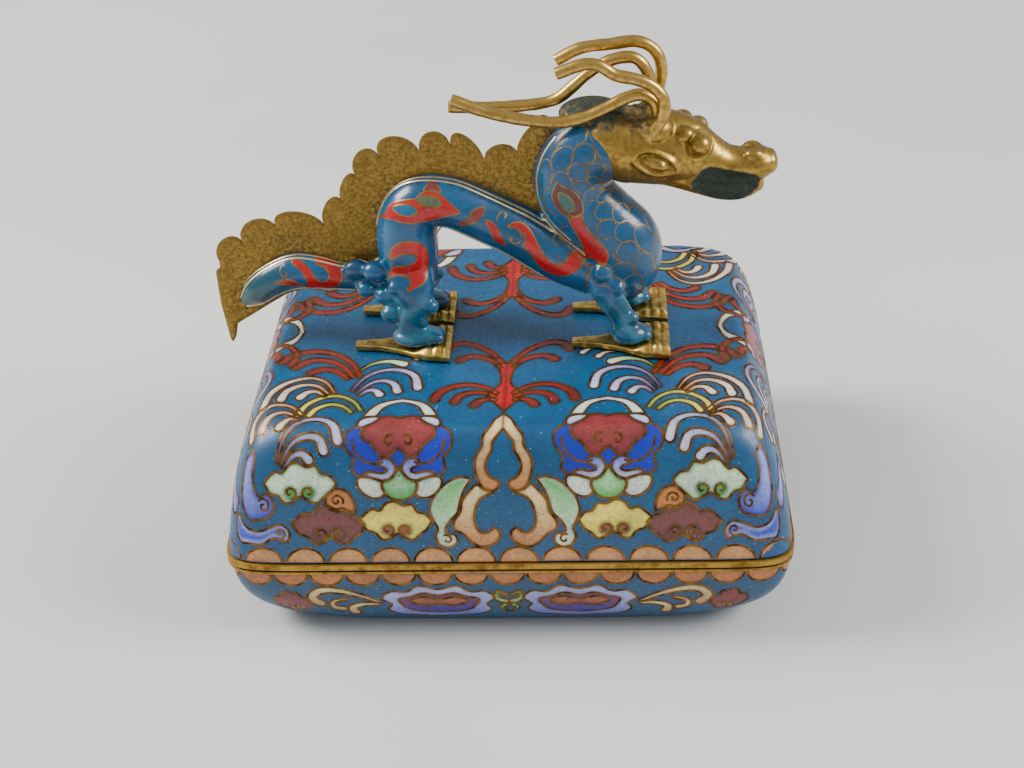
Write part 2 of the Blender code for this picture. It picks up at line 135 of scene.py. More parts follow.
def grid_faces(rows, columns, start=0):
    """Quads between the rows of a grid whose last column joins the first."""
    row, column = np.meshgrid(np.arange(rows - 1), np.arange(columns), indexing="ij")
    here = start + row * columns + column
    beside = start + row * columns + (column + 1) % columns
    return np.stack([here, beside, beside + columns, here + columns], axis=-1).reshape(-1, 4)


def fan_faces(ring, centre):
    """Triangles from each edge of a ring of vertex numbers to one centre vertex."""
    ring = np.asarray(ring)
    return np.stack([ring, np.roll(ring, -1), np.full(len(ring), centre)], axis=1)


def capped(ring, first, last):
    """Points and faces of rows of rings, with a fan to one point at each end."""
    rows, around = ring.shape[:2]
    total = rows * around
    here = np.arange(around)
    faces = [grid_faces(rows, around), fan_faces(here, total)[:, ::-1],
             fan_faces(total - around + here, total + 1)]
    return np.concatenate([ring.reshape(-1, 3), [first], [last]]), faces


def closed_volume(points, faces):
    """Signed volume: the sum over a fan of triangles of a . (b x c) / 6."""
    total = 0.0
    for group in faces:
        for third in range(2, group.shape[1]):
            a, b, c = points[group[:, 0]], points[group[:, third - 1]], points[group[:, third]]
            total += np.einsum("ij,ij->", a, np.cross(b, c)) / 6.0
    return total


def fill_mesh(name, points, faces):
    """A mesh from an array of points and arrays of faces."""
    mesh = bpy.data.meshes.new(name)
    mesh.vertices.add(len(points))
    mesh.vertices.foreach_set("co", np.asarray(points, dtype=np.float32).ravel())
    corners = np.concatenate([group.ravel() for group in faces])
    sizes = np.concatenate([np.full(len(group), group.shape[1]) for group in faces])
    mesh.loops.add(len(corners))
    mesh.loops.foreach_set("vertex_index", corners.astype(np.int32))
    mesh.polygons.add(len(sizes))
    mesh.polygons.foreach_set("loop_start", np.concatenate([[0], np.cumsum(sizes)[:-1]]).astype(np.int32))
    mesh.polygons.foreach_set("use_smooth", np.ones(len(sizes), dtype=bool))
    mesh.update(calc_edges=True)
    mesh.validate()
    return mesh


def add_object(name, data):
    """A new object in the scene."""
    made = bpy.data.objects.new(name, data)
    bpy.context.scene.collection.objects.link(made)
    return made


def make_piece(name, points, faces, material, replaces=(), colours=None, grime_and_shade=None, sharp=50.0):
    """A named piece from points in millimetres, riding on the box."""
    points = np.asarray(points, dtype=float)
    if closed_volume(points, faces) < 0.0:
        faces = [group[:, ::-1] for group in faces]
    mesh = fill_mesh(name, points * MM, faces)
    mesh.set_sharp_from_angle(angle=math.radians(sharp))
    if colours is not None:
        layer = mesh.color_attributes.new(name="enamel", type="FLOAT_COLOR", domain="POINT")
        rgba = np.concatenate([colours, np.ones((len(colours), 1))], axis=1)
        layer.data.foreach_set("color", rgba.astype(np.float32).ravel())
    if grime_and_shade is not None:
        layer = mesh.attributes.new(name="grime_and_shade", type="FLOAT", domain="POINT")
        layer.data.foreach_set("value", np.asarray(grime_and_shade, dtype=np.float32))
    mesh.materials.append(material)
    piece = add_object(name, mesh)
    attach(piece, "root")
    if replaces:
        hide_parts(*replaces)
    triangles = sum(len(group) * (group.shape[1] - 2) for group in faces)
    print("%s: %d points, %d triangles" % (name, len(points), triangles))

# %% [markdown]
# ## Shader groups
# Glass that was fired and ground by hand is never even: the colour drifts, air leaves pin holes,
# and pale specks of frit float in it. Brass is bright where hands rub it and brown where they
# don't. Each of these effects is one node group with its own inputs, built once and set to other
# values in each material.

# %% Node helpers
class Nodes:
    """Adds nodes to one tree. Each input is given as a socket, a number or a colour."""

    def __init__(self, tree):
        self.tree = tree

    def add(self, kind, inputs, **settings):
        """A node of a kind, with its settings and its inputs."""
        node = self.tree.nodes.new("ShaderNode" + kind)
        for label, value in settings.items():
            setattr(node, label, value)
        for key, value in inputs.items():
            if isinstance(value, bpy.types.NodeSocket):
                self.tree.links.new(value, node.inputs[key])
            elif isinstance(value, (int, float)):
                node.inputs[key].default_value = value
            else:
                node.inputs[key].default_value = (*value[:3], 1.0)
        return node

    def maths(self, operation, first, second, clamp=False):
        """A sum, a difference or a product."""
        return self.add("Math", {0: first, 1: second}, operation=operation, use_clamp=clamp).outputs[0]

    def mix(self, factor, first, second, blend="MIX"):
        """Two colours mixed, or the second multiplied over the first."""
        node = self.add("Mix", {0: factor, 6: first, 7: second}, data_type="RGBA", blend_type=blend)
        return node.outputs[2]

    def remap(self, value, low, high, to_low=0.0, to_high=1.0):
        """A value moved from one range to another, held at the ends."""
        return self.add("MapRange", {"Value": value, "From Min": low, "From Max": high, "To Min": to_low,
                                     "To Max": to_high}).outputs["Result"]

    def where(self):
        """Object coordinates, which stand still in the piece."""
        return self.add("TexCoord", {}).outputs["Object"]

    def noise(self, scale, detail=3.0, roughness=0.55):
        """Noise of so many waves per metre."""
        return self.add("TexNoise", {"Vector": self.where(), "Scale": scale, "Detail": detail,
                                     "Roughness": roughness}).outputs["Fac"]

    def spots(self, scale, outer, inner):
        """One small round spot in each cell of a net of so many cells per metre."""
        cells = self.add("TexVoronoi", {"Vector": self.where(), "Scale": scale})
        return self.remap(cells.outputs["Distance"], outer, inner)

    def close_group(self, results):
        """Give a group its named outputs."""
        end = self.tree.nodes.new("NodeGroupOutput")
        for label, value in results.items():
            kind = "NodeSocketColor" if label == "Colour" else "NodeSocketFloat"
            self.tree.interface.new_socket(name=label, in_out="OUTPUT", socket_type=kind)
            self.tree.links.new(value, end.inputs[label])
        return self.tree


def new_group(name, inputs):
    """A shader node group with named inputs at their defaults."""
    tree = bpy.data.node_groups.new(name, "ShaderNodeTree")
    for label, default in inputs.items():
        kind = "NodeSocketFloat" if isinstance(default, float) else "NodeSocketColor"
        tree.interface.new_socket(name=label, in_out="INPUT", socket_type=kind).default_value = default
    return Nodes(tree), tree.nodes.new("NodeGroupInput").outputs


print("node helpers ready")

# %% The fired glass group
def fired_glass_group():
    """Colour drift, pale specks and pin holes for enamel."""
    nodes, given = new_group("fired_glass", {"Colour": (0.1, 0.3, 0.5, 1.0), "Drift": 0.35, "Specks": 0.6,
                                             "Base Roughness": 0.2})
    broad, fine = nodes.noise(140.0), nodes.noise(1500.0, 4.0, 0.7)
    darker = nodes.mix(nodes.remap(broad, 0.35, 0.62), given["Colour"], (0.62, 0.66, 0.74), "MULTIPLY")
    drifted = nodes.mix(given["Drift"], given["Colour"], darker)
    grainy = nodes.mix(nodes.remap(fine, 0.42, 0.66, 0.0, 0.65), drifted, (0.42, 0.46, 0.5), "MULTIPLY")
    rare, sparse = nodes.noise(610.0, 2.0), nodes.noise(330.0, 2.0)
    speck = nodes.maths("MULTIPLY", nodes.spots(900.0, 0.16, 0.09), nodes.remap(rare, 0.5, 0.6))
    speck = nodes.maths("MULTIPLY", speck, given["Specks"], clamp=True)
    flecked = nodes.mix(speck, grainy, (0.75, 0.8, 0.78))
    hole = nodes.maths("MULTIPLY", nodes.spots(520.0, 0.14, 0.07), nodes.remap(sparse, 0.52, 0.6))
    pitted = nodes.mix(nodes.maths("MULTIPLY", hole, 0.8), flecked, (0.02, 0.02, 0.02))
    rough = nodes.maths("ADD", given["Base Roughness"], nodes.remap(fine, 0.4, 0.7, 0.0, 0.14))
    rough = nodes.maths("ADD", rough, nodes.maths("MULTIPLY", hole, 0.4), clamp=True)
    height = nodes.maths("SUBTRACT", nodes.maths("MULTIPLY", fine, 0.2), hole)
    height = nodes.maths("ADD", height, nodes.maths("MULTIPLY", broad, 1.6))
    return nodes.close_group({"Colour": pitted, "Roughness": rough, "Height": height})


FIRED_GLASS = fired_glass_group()
print("group", FIRED_GLASS.name, "made")

# %% The worn brass group
def worn_brass_group():
    """Bright rubbed metal, brown tarnish in patches and in hollows, and fine scratches."""
    nodes, given = new_group("worn_brass", {
        "Bright": (0.8, 0.6, 0.25, 1.0), "Tarnish": (0.2, 0.12, 0.03, 1.0), "Amount": 0.5,
        "Patch Scale": 300.0, "Base Roughness": 0.3, "Grime And Shade": 0.0})
    patches, grains = nodes.noise(given["Patch Scale"], 5.0, 0.62), nodes.noise(2600.0, 3.0, 0.6)
    worn = nodes.add("NewGeometry", {}).outputs["Pointiness"]
    ridge, hollow = nodes.remap(worn, 0.5, 0.56), nodes.remap(worn, 0.5, 0.44)
    patch = nodes.maths("ADD", nodes.remap(patches, 0.38, 0.62, -0.5, 0.5), given["Amount"])
    patch = nodes.maths("ADD", patch, nodes.maths("MULTIPLY", hollow, 0.6))
    patch = nodes.maths("SUBTRACT", patch, nodes.maths("MULTIPLY", ridge, 0.5), clamp=True)
    colour = nodes.mix(patch, given["Bright"], given["Tarnish"])
    colour = nodes.mix(nodes.remap(grains, 0.4, 0.7, 0.0, 0.35), colour, (0.5, 0.45, 0.4), "MULTIPLY")
    rough = nodes.maths("ADD", given["Base Roughness"], nodes.maths("MULTIPLY", patch, 0.22))
    rough = nodes.maths("ADD", rough, nodes.remap(grains, 0.35, 0.7, 0.0, 0.12), clamp=True)
    height = nodes.maths("ADD", nodes.maths("MULTIPLY", grains, 0.5), patches)
    # Green-black soiling where a piece is marked; on the head's mouth it is partly painted shade.
    dirt_and_shade = nodes.maths("ADD", given["Grime And Shade"], nodes.remap(patches, 0.3, 0.7, -0.35, 0.35))
    dirt_and_shade = nodes.maths("MULTIPLY", dirt_and_shade, nodes.remap(given["Grime And Shade"], 0.0, 0.25), clamp=True)
    green = nodes.mix(nodes.remap(grains, 0.45, 0.6), (0.013, 0.014, 0.009), (0.026, 0.042, 0.024))
    colour = nodes.mix(dirt_and_shade, colour, green)
    rough = nodes.maths("ADD", rough, nodes.maths("MULTIPLY", dirt_and_shade, 0.35), clamp=True)
    metal = nodes.maths("SUBTRACT", 1.0, nodes.maths("MULTIPLY", dirt_and_shade, 0.9))
    return nodes.close_group({"Colour": colour, "Roughness": rough, "Height": height, "Metal": metal})


WORN_BRASS = worn_brass_group()
print("group", WORN_BRASS.name, "made")

# %% Materials from the groups
GLASS_RELIEF, BRASS_RELIEF = 0.0001, 0.00008
COAT_ROUGHNESS = 0.14


def new_material(name):
    """A material with its node adder and its Principled shader."""
    material = bpy.data.materials.new(name)
    material.use_nodes = True
    return material, Nodes(material.node_tree), material.node_tree.nodes["Principled BSDF"]


def feed_shader(nodes, shader, made, bump, relief):
    """Colour, roughness and bump from a group's outputs into the shader."""
    normal = nodes.add("Bump", {"Height": made["Height"], "Strength": bump, "Distance": relief}).outputs[0]
    fed = {"Base Color": made["Colour"], "Roughness": made["Roughness"], "Normal": normal}
    for label, socket in fed.items():
        nodes.tree.links.new(socket, shader.inputs[label])


def enamel_material(name, drift, specks, roughness, bump, coat):
    """Glass over copper, coloured by the piece's own attribute."""
    material, nodes, shader = new_material(name)
    painted = nodes.add("Attribute", {}, attribute_name="enamel").outputs["Color"]
    glass = nodes.add("Group", {"Colour": painted, "Drift": drift, "Specks": specks,
                                "Base Roughness": roughness}, node_tree=FIRED_GLASS)
    feed_shader(nodes, shader, glass.outputs, bump, GLASS_RELIEF)
    shader.inputs["Coat Weight"].default_value = coat
    shader.inputs["Coat Roughness"].default_value = COAT_ROUGHNESS
    return material


def brass_material(name, bright, tarnish, amount, patch_scale, roughness, bump=0.3, grime_and_shade=False):
    """Brass with its own colours and tarnish, and green-black soiling where marked, on the head's mouth
    partly painted shade.
    """
    material, nodes, shader = new_material(name)
    metal = nodes.add("Group", {"Bright": bright, "Tarnish": tarnish, "Amount": amount,
                                "Patch Scale": patch_scale, "Base Roughness": roughness},
                      node_tree=WORN_BRASS)
    feed_shader(nodes, shader, metal.outputs, bump, BRASS_RELIEF)
    shader.inputs["Metallic"].default_value = 1.0
    if grime_and_shade:
        marked = nodes.add("Attribute", {}, attribute_name="grime_and_shade").outputs["Fac"]
        nodes.tree.links.new(marked, metal.inputs["Grime And Shade"])
        nodes.tree.links.new(metal.outputs["Metal"], shader.inputs["Metallic"])
    return material


BOX_ENAMEL = enamel_material("box_enamel", drift=0.8, specks=0.25, roughness=0.36, bump=0.25, coat=0.1)
RIM_BRASS = brass_material("rim_brass", screen(176, 138, 66), screen(116, 86, 38), 0.55, 420.0, 0.36)
WIRE_BRASS = brass_material("cell_wire", screen(136, 98, 54), screen(48, 30, 18), 0.76, 420.0, 0.42)
print("materials for the box ready")
# %% [markdown]
# ## The lid and tray as surfaces
# The box's plan is a superellipse, a rectangle whose corners round off by a power. A point of a
# side is given by two numbers: how far down the side it is, and where it is round the plan.
# To draw a pattern, the side is also spread out flat: each point moves outwards, square to the
# plan, until its distance from the flat top's edge is its real distance along the surface.

# %% Plan, profiles and the flat sheet
def plan(turn, inset, power):
    """Point and outward direction of the plan.

    turn runs 0 to 4 round a unit square, and (s, t) is the square's edge point there. The point
    is (a s k, b t k) with k = (|s|^p + |t|^p)^(-1/p), and the direction is the curve's gradient.
    """
    side = np.floor(turn).astype(int) % 4
    run = (turn - np.floor(turn)) * 2.0 - 1.0
    one = np.ones_like(run)
    s = np.choose(side, [run, one, -run, -one])
    t = np.choose(side, [-one, run, one, -run])
    k = (np.abs(s) ** power + np.abs(t) ** power) ** (-1.0 / power)
    a, b = HALF_WIDTH - inset, HALF_DEPTH - inset
    x, y = a * s * k, b * t * k
    out_x = np.sign(x) * np.abs(x / a) ** (power - 1.0) / a
    out_y = np.sign(y) * np.abs(y / b) ** (power - 1.0) / b
    size = np.hypot(out_x, out_y)
    return x, y, out_x / size, out_y / size


def lid_profile(share, wall=0.0):
    """Inset, height and corner power of the lid: height = rise (1 - (1 - share)^2.3)^0.87."""
    height = (LID_TOP - LID_BOTTOM - wall) * (1.0 - (1.0 - share) ** SHOULDER_ROUND) ** SHOULDER_CROWN
    return (SHOULDER * share + wall, LID_BOTTOM + height,
            CORNER_POWER + (LID_TOP_POWER - CORNER_POWER) * share)


def tray_profile(share, wall=0.0, floor=0.0):
    """Inset, height and power of the tray from rim, share 0, to foot: inset = tuck (share)^2.7."""
    height = floor + (TRAY_TOP - floor) * (1.0 - share)
    drop = 1.0 - height / TRAY_TOP
    return (TRAY_TUCK * drop ** TRAY_TUCK_POWER + wall, height,
            CORNER_POWER + (TRAY_FOOT_POWER - CORNER_POWER) * drop)


class Side:
    """One side of the box: tables of inset, height and power against the distance down it."""

    def __init__(self, profile, flat_top):
        shares = np.linspace(0.0, 1.0, 400) ** 2
        if flat_top:
            shares = shares[::-1]
        self.inset, self.height, self.power = profile(shares)
        steps = np.hypot(np.diff(self.inset), np.diff(self.height))
        self.down = np.concatenate([[0.0], np.cumsum(steps)])
        self.length = self.down[-1]
        self.flat_top = flat_top
        from_corner = np.linspace(-1.0, 1.0, 97)
        from_corner = 0.54 * from_corner * np.abs(from_corner)
        down, turn = np.meshgrid(np.linspace(0.0, self.length, 24), 1.0 + from_corner)
        self.table = np.stack([down.ravel(), turn.ravel()], axis=1)
        self.table_sheet = self.at(*self.table.T)[1]

    def at(self, down, turn):
        """(point in space, point on the flat sheet) for arrays of down and turn."""
        inset = np.interp(down, self.down, self.inset)
        height = np.interp(down, self.down, self.height)
        x, y, out_x, out_y = plan(turn, inset, np.interp(down, self.down, self.power))
        spread = down + inset - self.inset[0]
        sheet = np.stack([x + out_x * spread, y + out_y * spread], axis=-1)
        return np.stack([x, y, height], axis=-1), sheet

    def find(self, sheet):
        """Down and turn of sheet points with x > 0 and y < 0, by Newton's steps from a table."""
        gap = ((self.table_sheet[None, :, :] - sheet[:, None, :]) ** 2).sum(axis=2)
        guess = self.table[np.argmin(gap, axis=1)]
        step = 1e-3
        for _ in range(8):
            here = self.at(*guess.T)[1]
            by_down = (self.at(guess[:, 0] + step, guess[:, 1])[1] - here) / step
            by_turn = (self.at(guess[:, 0], guess[:, 1] + step)[1] - here) / step
            miss = sheet - here
            area = by_down[:, 0] * by_turn[:, 1] - by_down[:, 1] * by_turn[:, 0]
            area = np.where(np.abs(area) < 1e-9, 1e-9, area)
            move = np.stack([miss[:, 0] * by_turn[:, 1] - miss[:, 1] * by_turn[:, 0],
                             by_down[:, 0] * miss[:, 1] - by_down[:, 1] * miss[:, 0]], axis=1) / area[:, None]
            move = np.clip(move, [-4.0, -0.2], [4.0, 0.2])
            guess = np.clip(guess + move, [0.0, 0.4], [self.length, 1.6])
        return guess

    def outward(self, down, turn, step=0.01):
        """Points in space and outward directions, square to the ways down and round the side."""
        point = self.at(down, turn)[0]
        high = self.at(np.maximum(down - step, 0.0), turn)[0]
        low = self.at(np.minimum(down + step, self.length), turn)[0]
        before, after = self.at(down, turn - 0.01)[0], self.at(down, turn + 0.01)[0]
        out = unit(np.cross(low - high, after - before))
        return point, out * np.sign(np.sum(out[:, :2] * point[:, :2], axis=1))[:, None]

    def lay(self, sheet):
        """Points in space and outward directions for sheet points (across, along) of one quarter."""
        front = np.maximum(sheet, 0.0) * [1.0, -1.0]
        point, out = self.outward(*self.find(front).T)
        if self.flat_top:
            reach = np.abs(front) / [HALF_WIDTH - SHOULDER, HALF_DEPTH - SHOULDER]
            flat = (reach ** LID_TOP_POWER).sum(axis=1) <= 1.0
            point[flat] = np.column_stack([front[flat], np.full(flat.sum(), LID_TOP)])
            out[flat] = (0.0, 0.0, 1.0)
        return point, out


LID_SIDE = Side(lid_profile, flat_top=True)
TRAY_SIDE = Side(tray_profile, flat_top=False)
print("side of the lid %.1f mm, of the tray %.1f mm" % (LID_SIDE.length, TRAY_SIDE.length))

# %% [markdown]
# ## Drawing on the flat sheet
# The pattern is the same in all four quarters, so one quarter is drawn and folded over. Across is
# the distance from the middle of the long side, and along is the distance from the box's middle
# line towards the front. A cell is a closed outline with its colours, and its outline is a wire.

# %% Curves of the pattern
WIRE_STEP = 0.62
FROND_STEP = 0.7


def run_on(rows):
    """A path with one more point at each end, as far on as its last two are apart."""
    rows = np.asarray(rows, dtype=float)
    return np.concatenate([2.0 * rows[:1] - rows[1:2], rows, 2.0 * rows[-1:] - rows[-2:-1]])


def smooth(points, closed=True, per=5):
    """A Catmull-Rom curve through the points. A point with a third number is a sharp corner."""
    corners = [i for i, p in enumerate(points) if len(p) > 2]
    flat = np.array([p[:2] for p in points], dtype=float)
    if closed and not corners:
        return catmull(np.concatenate([flat[-1:], flat, flat[:2]]), per)[:-1]
    if closed:
        flat = np.roll(flat, -corners[0], axis=0)
        marks = [c - corners[0] for c in corners] + [len(flat)]
        flat = np.concatenate([flat, flat[:1]])
    else:
        marks = sorted({0, len(flat) - 1, *corners})
    parts = [catmull(run_on(flat[a:b + 1]), per)[:-1] for a, b in zip(marks, marks[1:])]
    return np.concatenate(parts if closed else parts + [flat[-1:]])


def catmull(padded, per):
    """0.5 (2b + (c - a) t + (2a - 5b + 4c - d) t^2 + (3b - a - 3c + d) t^3) between b and c."""
    a, b, c, d = (padded[i:len(padded) - 3 + i] for i in range(4))
    t = (np.arange(per) / per)[None, :, None]
    a, b, c, d = (part[:, None, :] for part in (a, b, c, d))
    curve = 0.5 * (2.0 * b + (c - a) * t + (2.0 * a - 5.0 * b + 4.0 * c - d) * t ** 2
                   + (3.0 * b - a - 3.0 * c + d) * t ** 3)
    return np.concatenate([curve.reshape(-1, padded.shape[1]), padded[-2:-1]])


def distances(points):
    """How far along a path each of its points is."""
    return np.concatenate([[0.0], np.cumsum(np.linalg.norm(np.diff(points, axis=0), axis=1))])


def columns_at(at, along, rows):
    """The columns of a table read off at new distances."""
    return np.stack([np.interp(at, along, column) for column in rows.T], axis=-1)


def even_steps(points, step):
    """The same path with its points an even step apart."""
    along = distances(points)
    count = max(int(math.ceil(along[-1] / step)), 2) + 1
    return columns_at(np.linspace(0.0, along[-1], count), along, points)


def spiral(centre, radius, start, turns, handed=1.0):
    """A wire that starts at one angle on a circle and winds inwards to a fifth of its radius."""
    share = np.linspace(0.0, 1.0, 26)
    angle = np.radians(start) + handed * 2.0 * math.pi * turns * share
    reach = radius * (1.0 - 0.8 * share)
    return np.stack([centre[0] + reach * np.cos(angle), centre[1] + reach * np.sin(angle)], axis=1)


def frond(points, root, end):
    """Outline of a tapering leaf along a path, from one half width to another, with a round end."""
    path = even_steps(smooth(points, closed=False), FROND_STEP)
    ahead = unit(np.gradient(path, axis=0))
    across = np.stack([-ahead[:, 1], ahead[:, 0]], axis=1)
    half = root + (end - root) * np.linspace(0.0, 1.0, len(path))[:, None] ** 1.3
    turn = np.radians(np.linspace(-90.0, 90.0, 7)[1:-1, None])
    cap = path[-1] + end * (np.cos(turn) * ahead[-1] + np.sin(turn) * across[-1])
    return np.concatenate([path - across * half, cap, (path + across * half)[::-1]])


def inside(points, outline):
    """True where a point is in the outline: a line from it crosses the outline an odd number of times."""
    x, y = points[:, :1], points[:, 1:]
    x0, y0 = outline.T
    x1, y1 = np.roll(outline, -1, axis=0).T
    rise = np.where(np.abs(y1 - y0) < 1e-9, 1e-9, y1 - y0)
    crossing = ((y0 > y) != (y1 > y)) & (x < (x1 - x0) * (y - y0) / rise + x0)
    return crossing.sum(axis=1) % 2 == 1


def near_box(points, outline, margin=0.0):
    """Numbers of the points that lie in an outline's box, or no farther from it than a margin."""
    low, high = outline.min(axis=0) - margin, outline.max(axis=0) + margin
    return np.flatnonzero(np.all((points >= low) & (points <= high), axis=1))


def distance_to(points, outline):
    """Least distance from each point to the outline's segments."""
    start = outline
    edge = np.roll(outline, -1, axis=0) - start
    rel = points[:, None, :] - start[None, :, :]
    share = np.clip((rel * edge).sum(axis=2) / np.maximum((edge ** 2).sum(axis=1), 1e-9), 0.0, 1.0)
    return np.linalg.norm(rel - share[..., None] * edge, axis=2).min(axis=1)


print("curve helpers ready")

# %% A sheet of cells and wires
WIRE_SHADE = 0.6


class Sheet:
    """The drawing of one quarter of a side."""

    def __init__(self):
        self.cells = []
        self.wires = []

    def cell(self, outline, top, bottom=None, edge=None, reach=1.0, wired=True, closed=True, ends=None):
        """Fill an outline from one colour to another, down the side or between two ends."""
        outline = np.asarray(outline, dtype=float)
        self.cells.append((outline, top, top if bottom is None else bottom, edge, reach, ends))
        if wired:
            self.wires.append(np.concatenate([outline, outline[:1]]) if closed else outline)

    def wire(self, points):
        """A wire with no cell of its own."""
        self.wires.append(np.asarray(points, dtype=float))

    def paint(self, sheet, ground):
        """Colours for sheet points folded into the quarter."""
        folded = np.abs(sheet)
        colours = np.tile(ground, (len(folded), 1))
        for outline, top, bottom, edge, reach, ends in self.cells:
            low, high = outline.min(axis=0), outline.max(axis=0)
            near = near_box(folded, outline, WIRE_SHADE)
            if not len(near):
                continue
            within = inside(folded[near], outline)
            depth = distance_to(folded[near], outline)
            share = np.clip((folded[near, 1] - low[1]) / max(high[1] - low[1], 1e-6), 0.0, 1.0)[:, None]
            if ends is not None:
                from_root, from_end = (np.linalg.norm(folded[near] - end, axis=1) for end in np.asarray(ends))
                share = (from_root / (from_root + from_end))[:, None]
            fill = top * (1.0 - share) + bottom * share
            if edge is not None:
                blend = np.clip(depth / reach, 0.0, 1.0)[:, None]
                fill = edge * (1.0 - blend) + fill * blend
            fill = np.where(within[:, None], fill, colours[near])
            colours[near] = fill * (0.4 + 0.6 * np.clip(depth / WIRE_SHADE, 0.0, 1.0))[:, None]
        return colours


def flip(points, middle):
    """Points mirrored across the line at one distance across."""
    points = np.array(points, dtype=float)
    points[:, 0] = 2.0 * middle - points[:, 0]
    return points[::-1]


print("sheet ready")

# %% [markdown]
# ## The lid's pattern
# From the middle of the long side outwards: a red palmette on the flat top, a gourd standing on a
# bell over the rim, a curling leaf, a lotus with a maroon cap, three clouds, and fans of fronds in
# pairs that reach from the corner onto the top. The ends carry a lotus of their own.

# %% Palmette, gourd and bell
lid_sheet = Sheet()


def palmette(sheet):
    """A red trunk with a pointed foot and two pairs of dusty fronds on each side."""
    upper = [
        [(0.9, 12.2), (2.6, 9.2), (5.2, 6.6), (8.2, 5.0), (10.8, 5.6), (11.8, 7.4)],
        [(1.2, 13.8), (2.8, 11.4), (5.0, 10.0), (7.2, 9.8), (9.0, 10.9)]]
    lower = [
        [(1.4, 22.4), (3.6, 20.4), (6.6, 19.4), (9.8, 20.0), (12.2, 22.0), (12.9, 24.2)],
        [(1.6, 23.4), (4.0, 22.1), (6.6, 22.1), (8.4, 23.2), (9.1, 24.9)],
        [(1.5, 24.6), (3.4, 24.2), (4.8, 24.9), (5.5, 26.0)]]
    for path in upper + lower:
        sheet.cell(frond(path, 0.45, 1.0), RED, DUSTY_RED * 0.8, ends=(path[0], path[-1]))
    trunk = [
        (0, 12.4, 1), (1.4, 10.4), (2.3, 10.6), (1.9, 12.8), (1.2, 15.2), (0.9, 17.6), (1.1, 19.4),
        (2.2, 21), (3.2, 22.8), (2.5, 24.6), (1.1, 26.4), (0, 28.3, 1)]
    outline = smooth(trunk, closed=False)
    sheet.cell(outline, RED, RED, closed=False)


def gourd_and_bell(sheet):
    """A cream to orange band round a blue drop, on two mirrored hooks that close a bell."""
    band = [
        (0, 28.8, 1), (1.5, 30.6), (2.3, 32.6), (3.6, 34.5), (3.7, 36.1), (4.9, 38.2), (5.1, 40.4),
        (4.5, 42.8), (3.4, 44.3), (1.8, 44.5), (0.8, 43.5), (1, 42.6), (2.3, 42), (3.2, 40.4), (2.9, 38.6),
        (2, 37), (1.9, 35.6), (1.1, 34.5), (0, 33.1, 1)]
    sheet.cell(smooth(band, closed=False), CREAM, ORANGE, ORANGE * 0.9, 0.5, closed=False)
    bell = [
        (1.7, 44.8, 1), (3.6, 44.3), (4.9, 43.3), (6.2, 44.6), (7.6, 46.4), (8, 48.6), (9.2, 50.4),
        (9.3, 52.1), (7.6, 53.2), (6.4, 54.6), (4.6, 55.8), (2.6, 55.5), (1.1, 54.1), (1.1, 52.6),
        (2.1, 51.9), (3.1, 52.8), (4.6, 52.7), (5.5, 50.8), (5.3, 48.2), (4.2, 46)]
    sheet.cell(smooth(bell), CREAM, ORANGE, ORANGE * 0.9, 0.5)


def curling_leaf(sheet):
    """A leaf, green on its back and white in its curl."""
    leaf = [
        (5.8, 42.2, 1), (7.8, 41.9), (10.2, 42.9), (12.6, 45.4), (13.5, 48.2), (12.9, 50.4), (12.2, 52),
        (12.7, 53.6), (12, 55.4), (10.2, 55.9), (8.8, 54.8), (9.2, 53.2), (10.4, 53.2), (10.9, 52.2),
        (10, 50.4), (8.6, 48.9), (8, 46.6), (7.2, 44.4)]
    sheet.cell(smooth(leaf), LEAF_GREEN, PALE_GREEN, WHITE * 0.85, 0.9)
    sheet.wire(spiral((10.7, 54.3), 1.1, -60.0, 0.9, -1.0))


palmette(lid_sheet)
gourd_and_bell(lid_sheet)
curling_leaf(lid_sheet)
print("cells so far:", len(lid_sheet.cells))

# %% Lotus
LOTUS_ACROSS = 18.75


def whole(half_outline):
    """A motif's right half closed by its mirror image."""
    half_outline = np.array(half_outline, dtype=float)
    inner = half_outline[np.abs(half_outline[:, 0] - LOTUS_ACROSS) > 1e-6]
    return smooth(np.concatenate([half_outline, flip(inner, LOTUS_ACROSS)]))


def both(outline):
    """An outline and its mirror image across the motif's middle."""
    return outline, flip(outline, LOTUS_ACROSS)


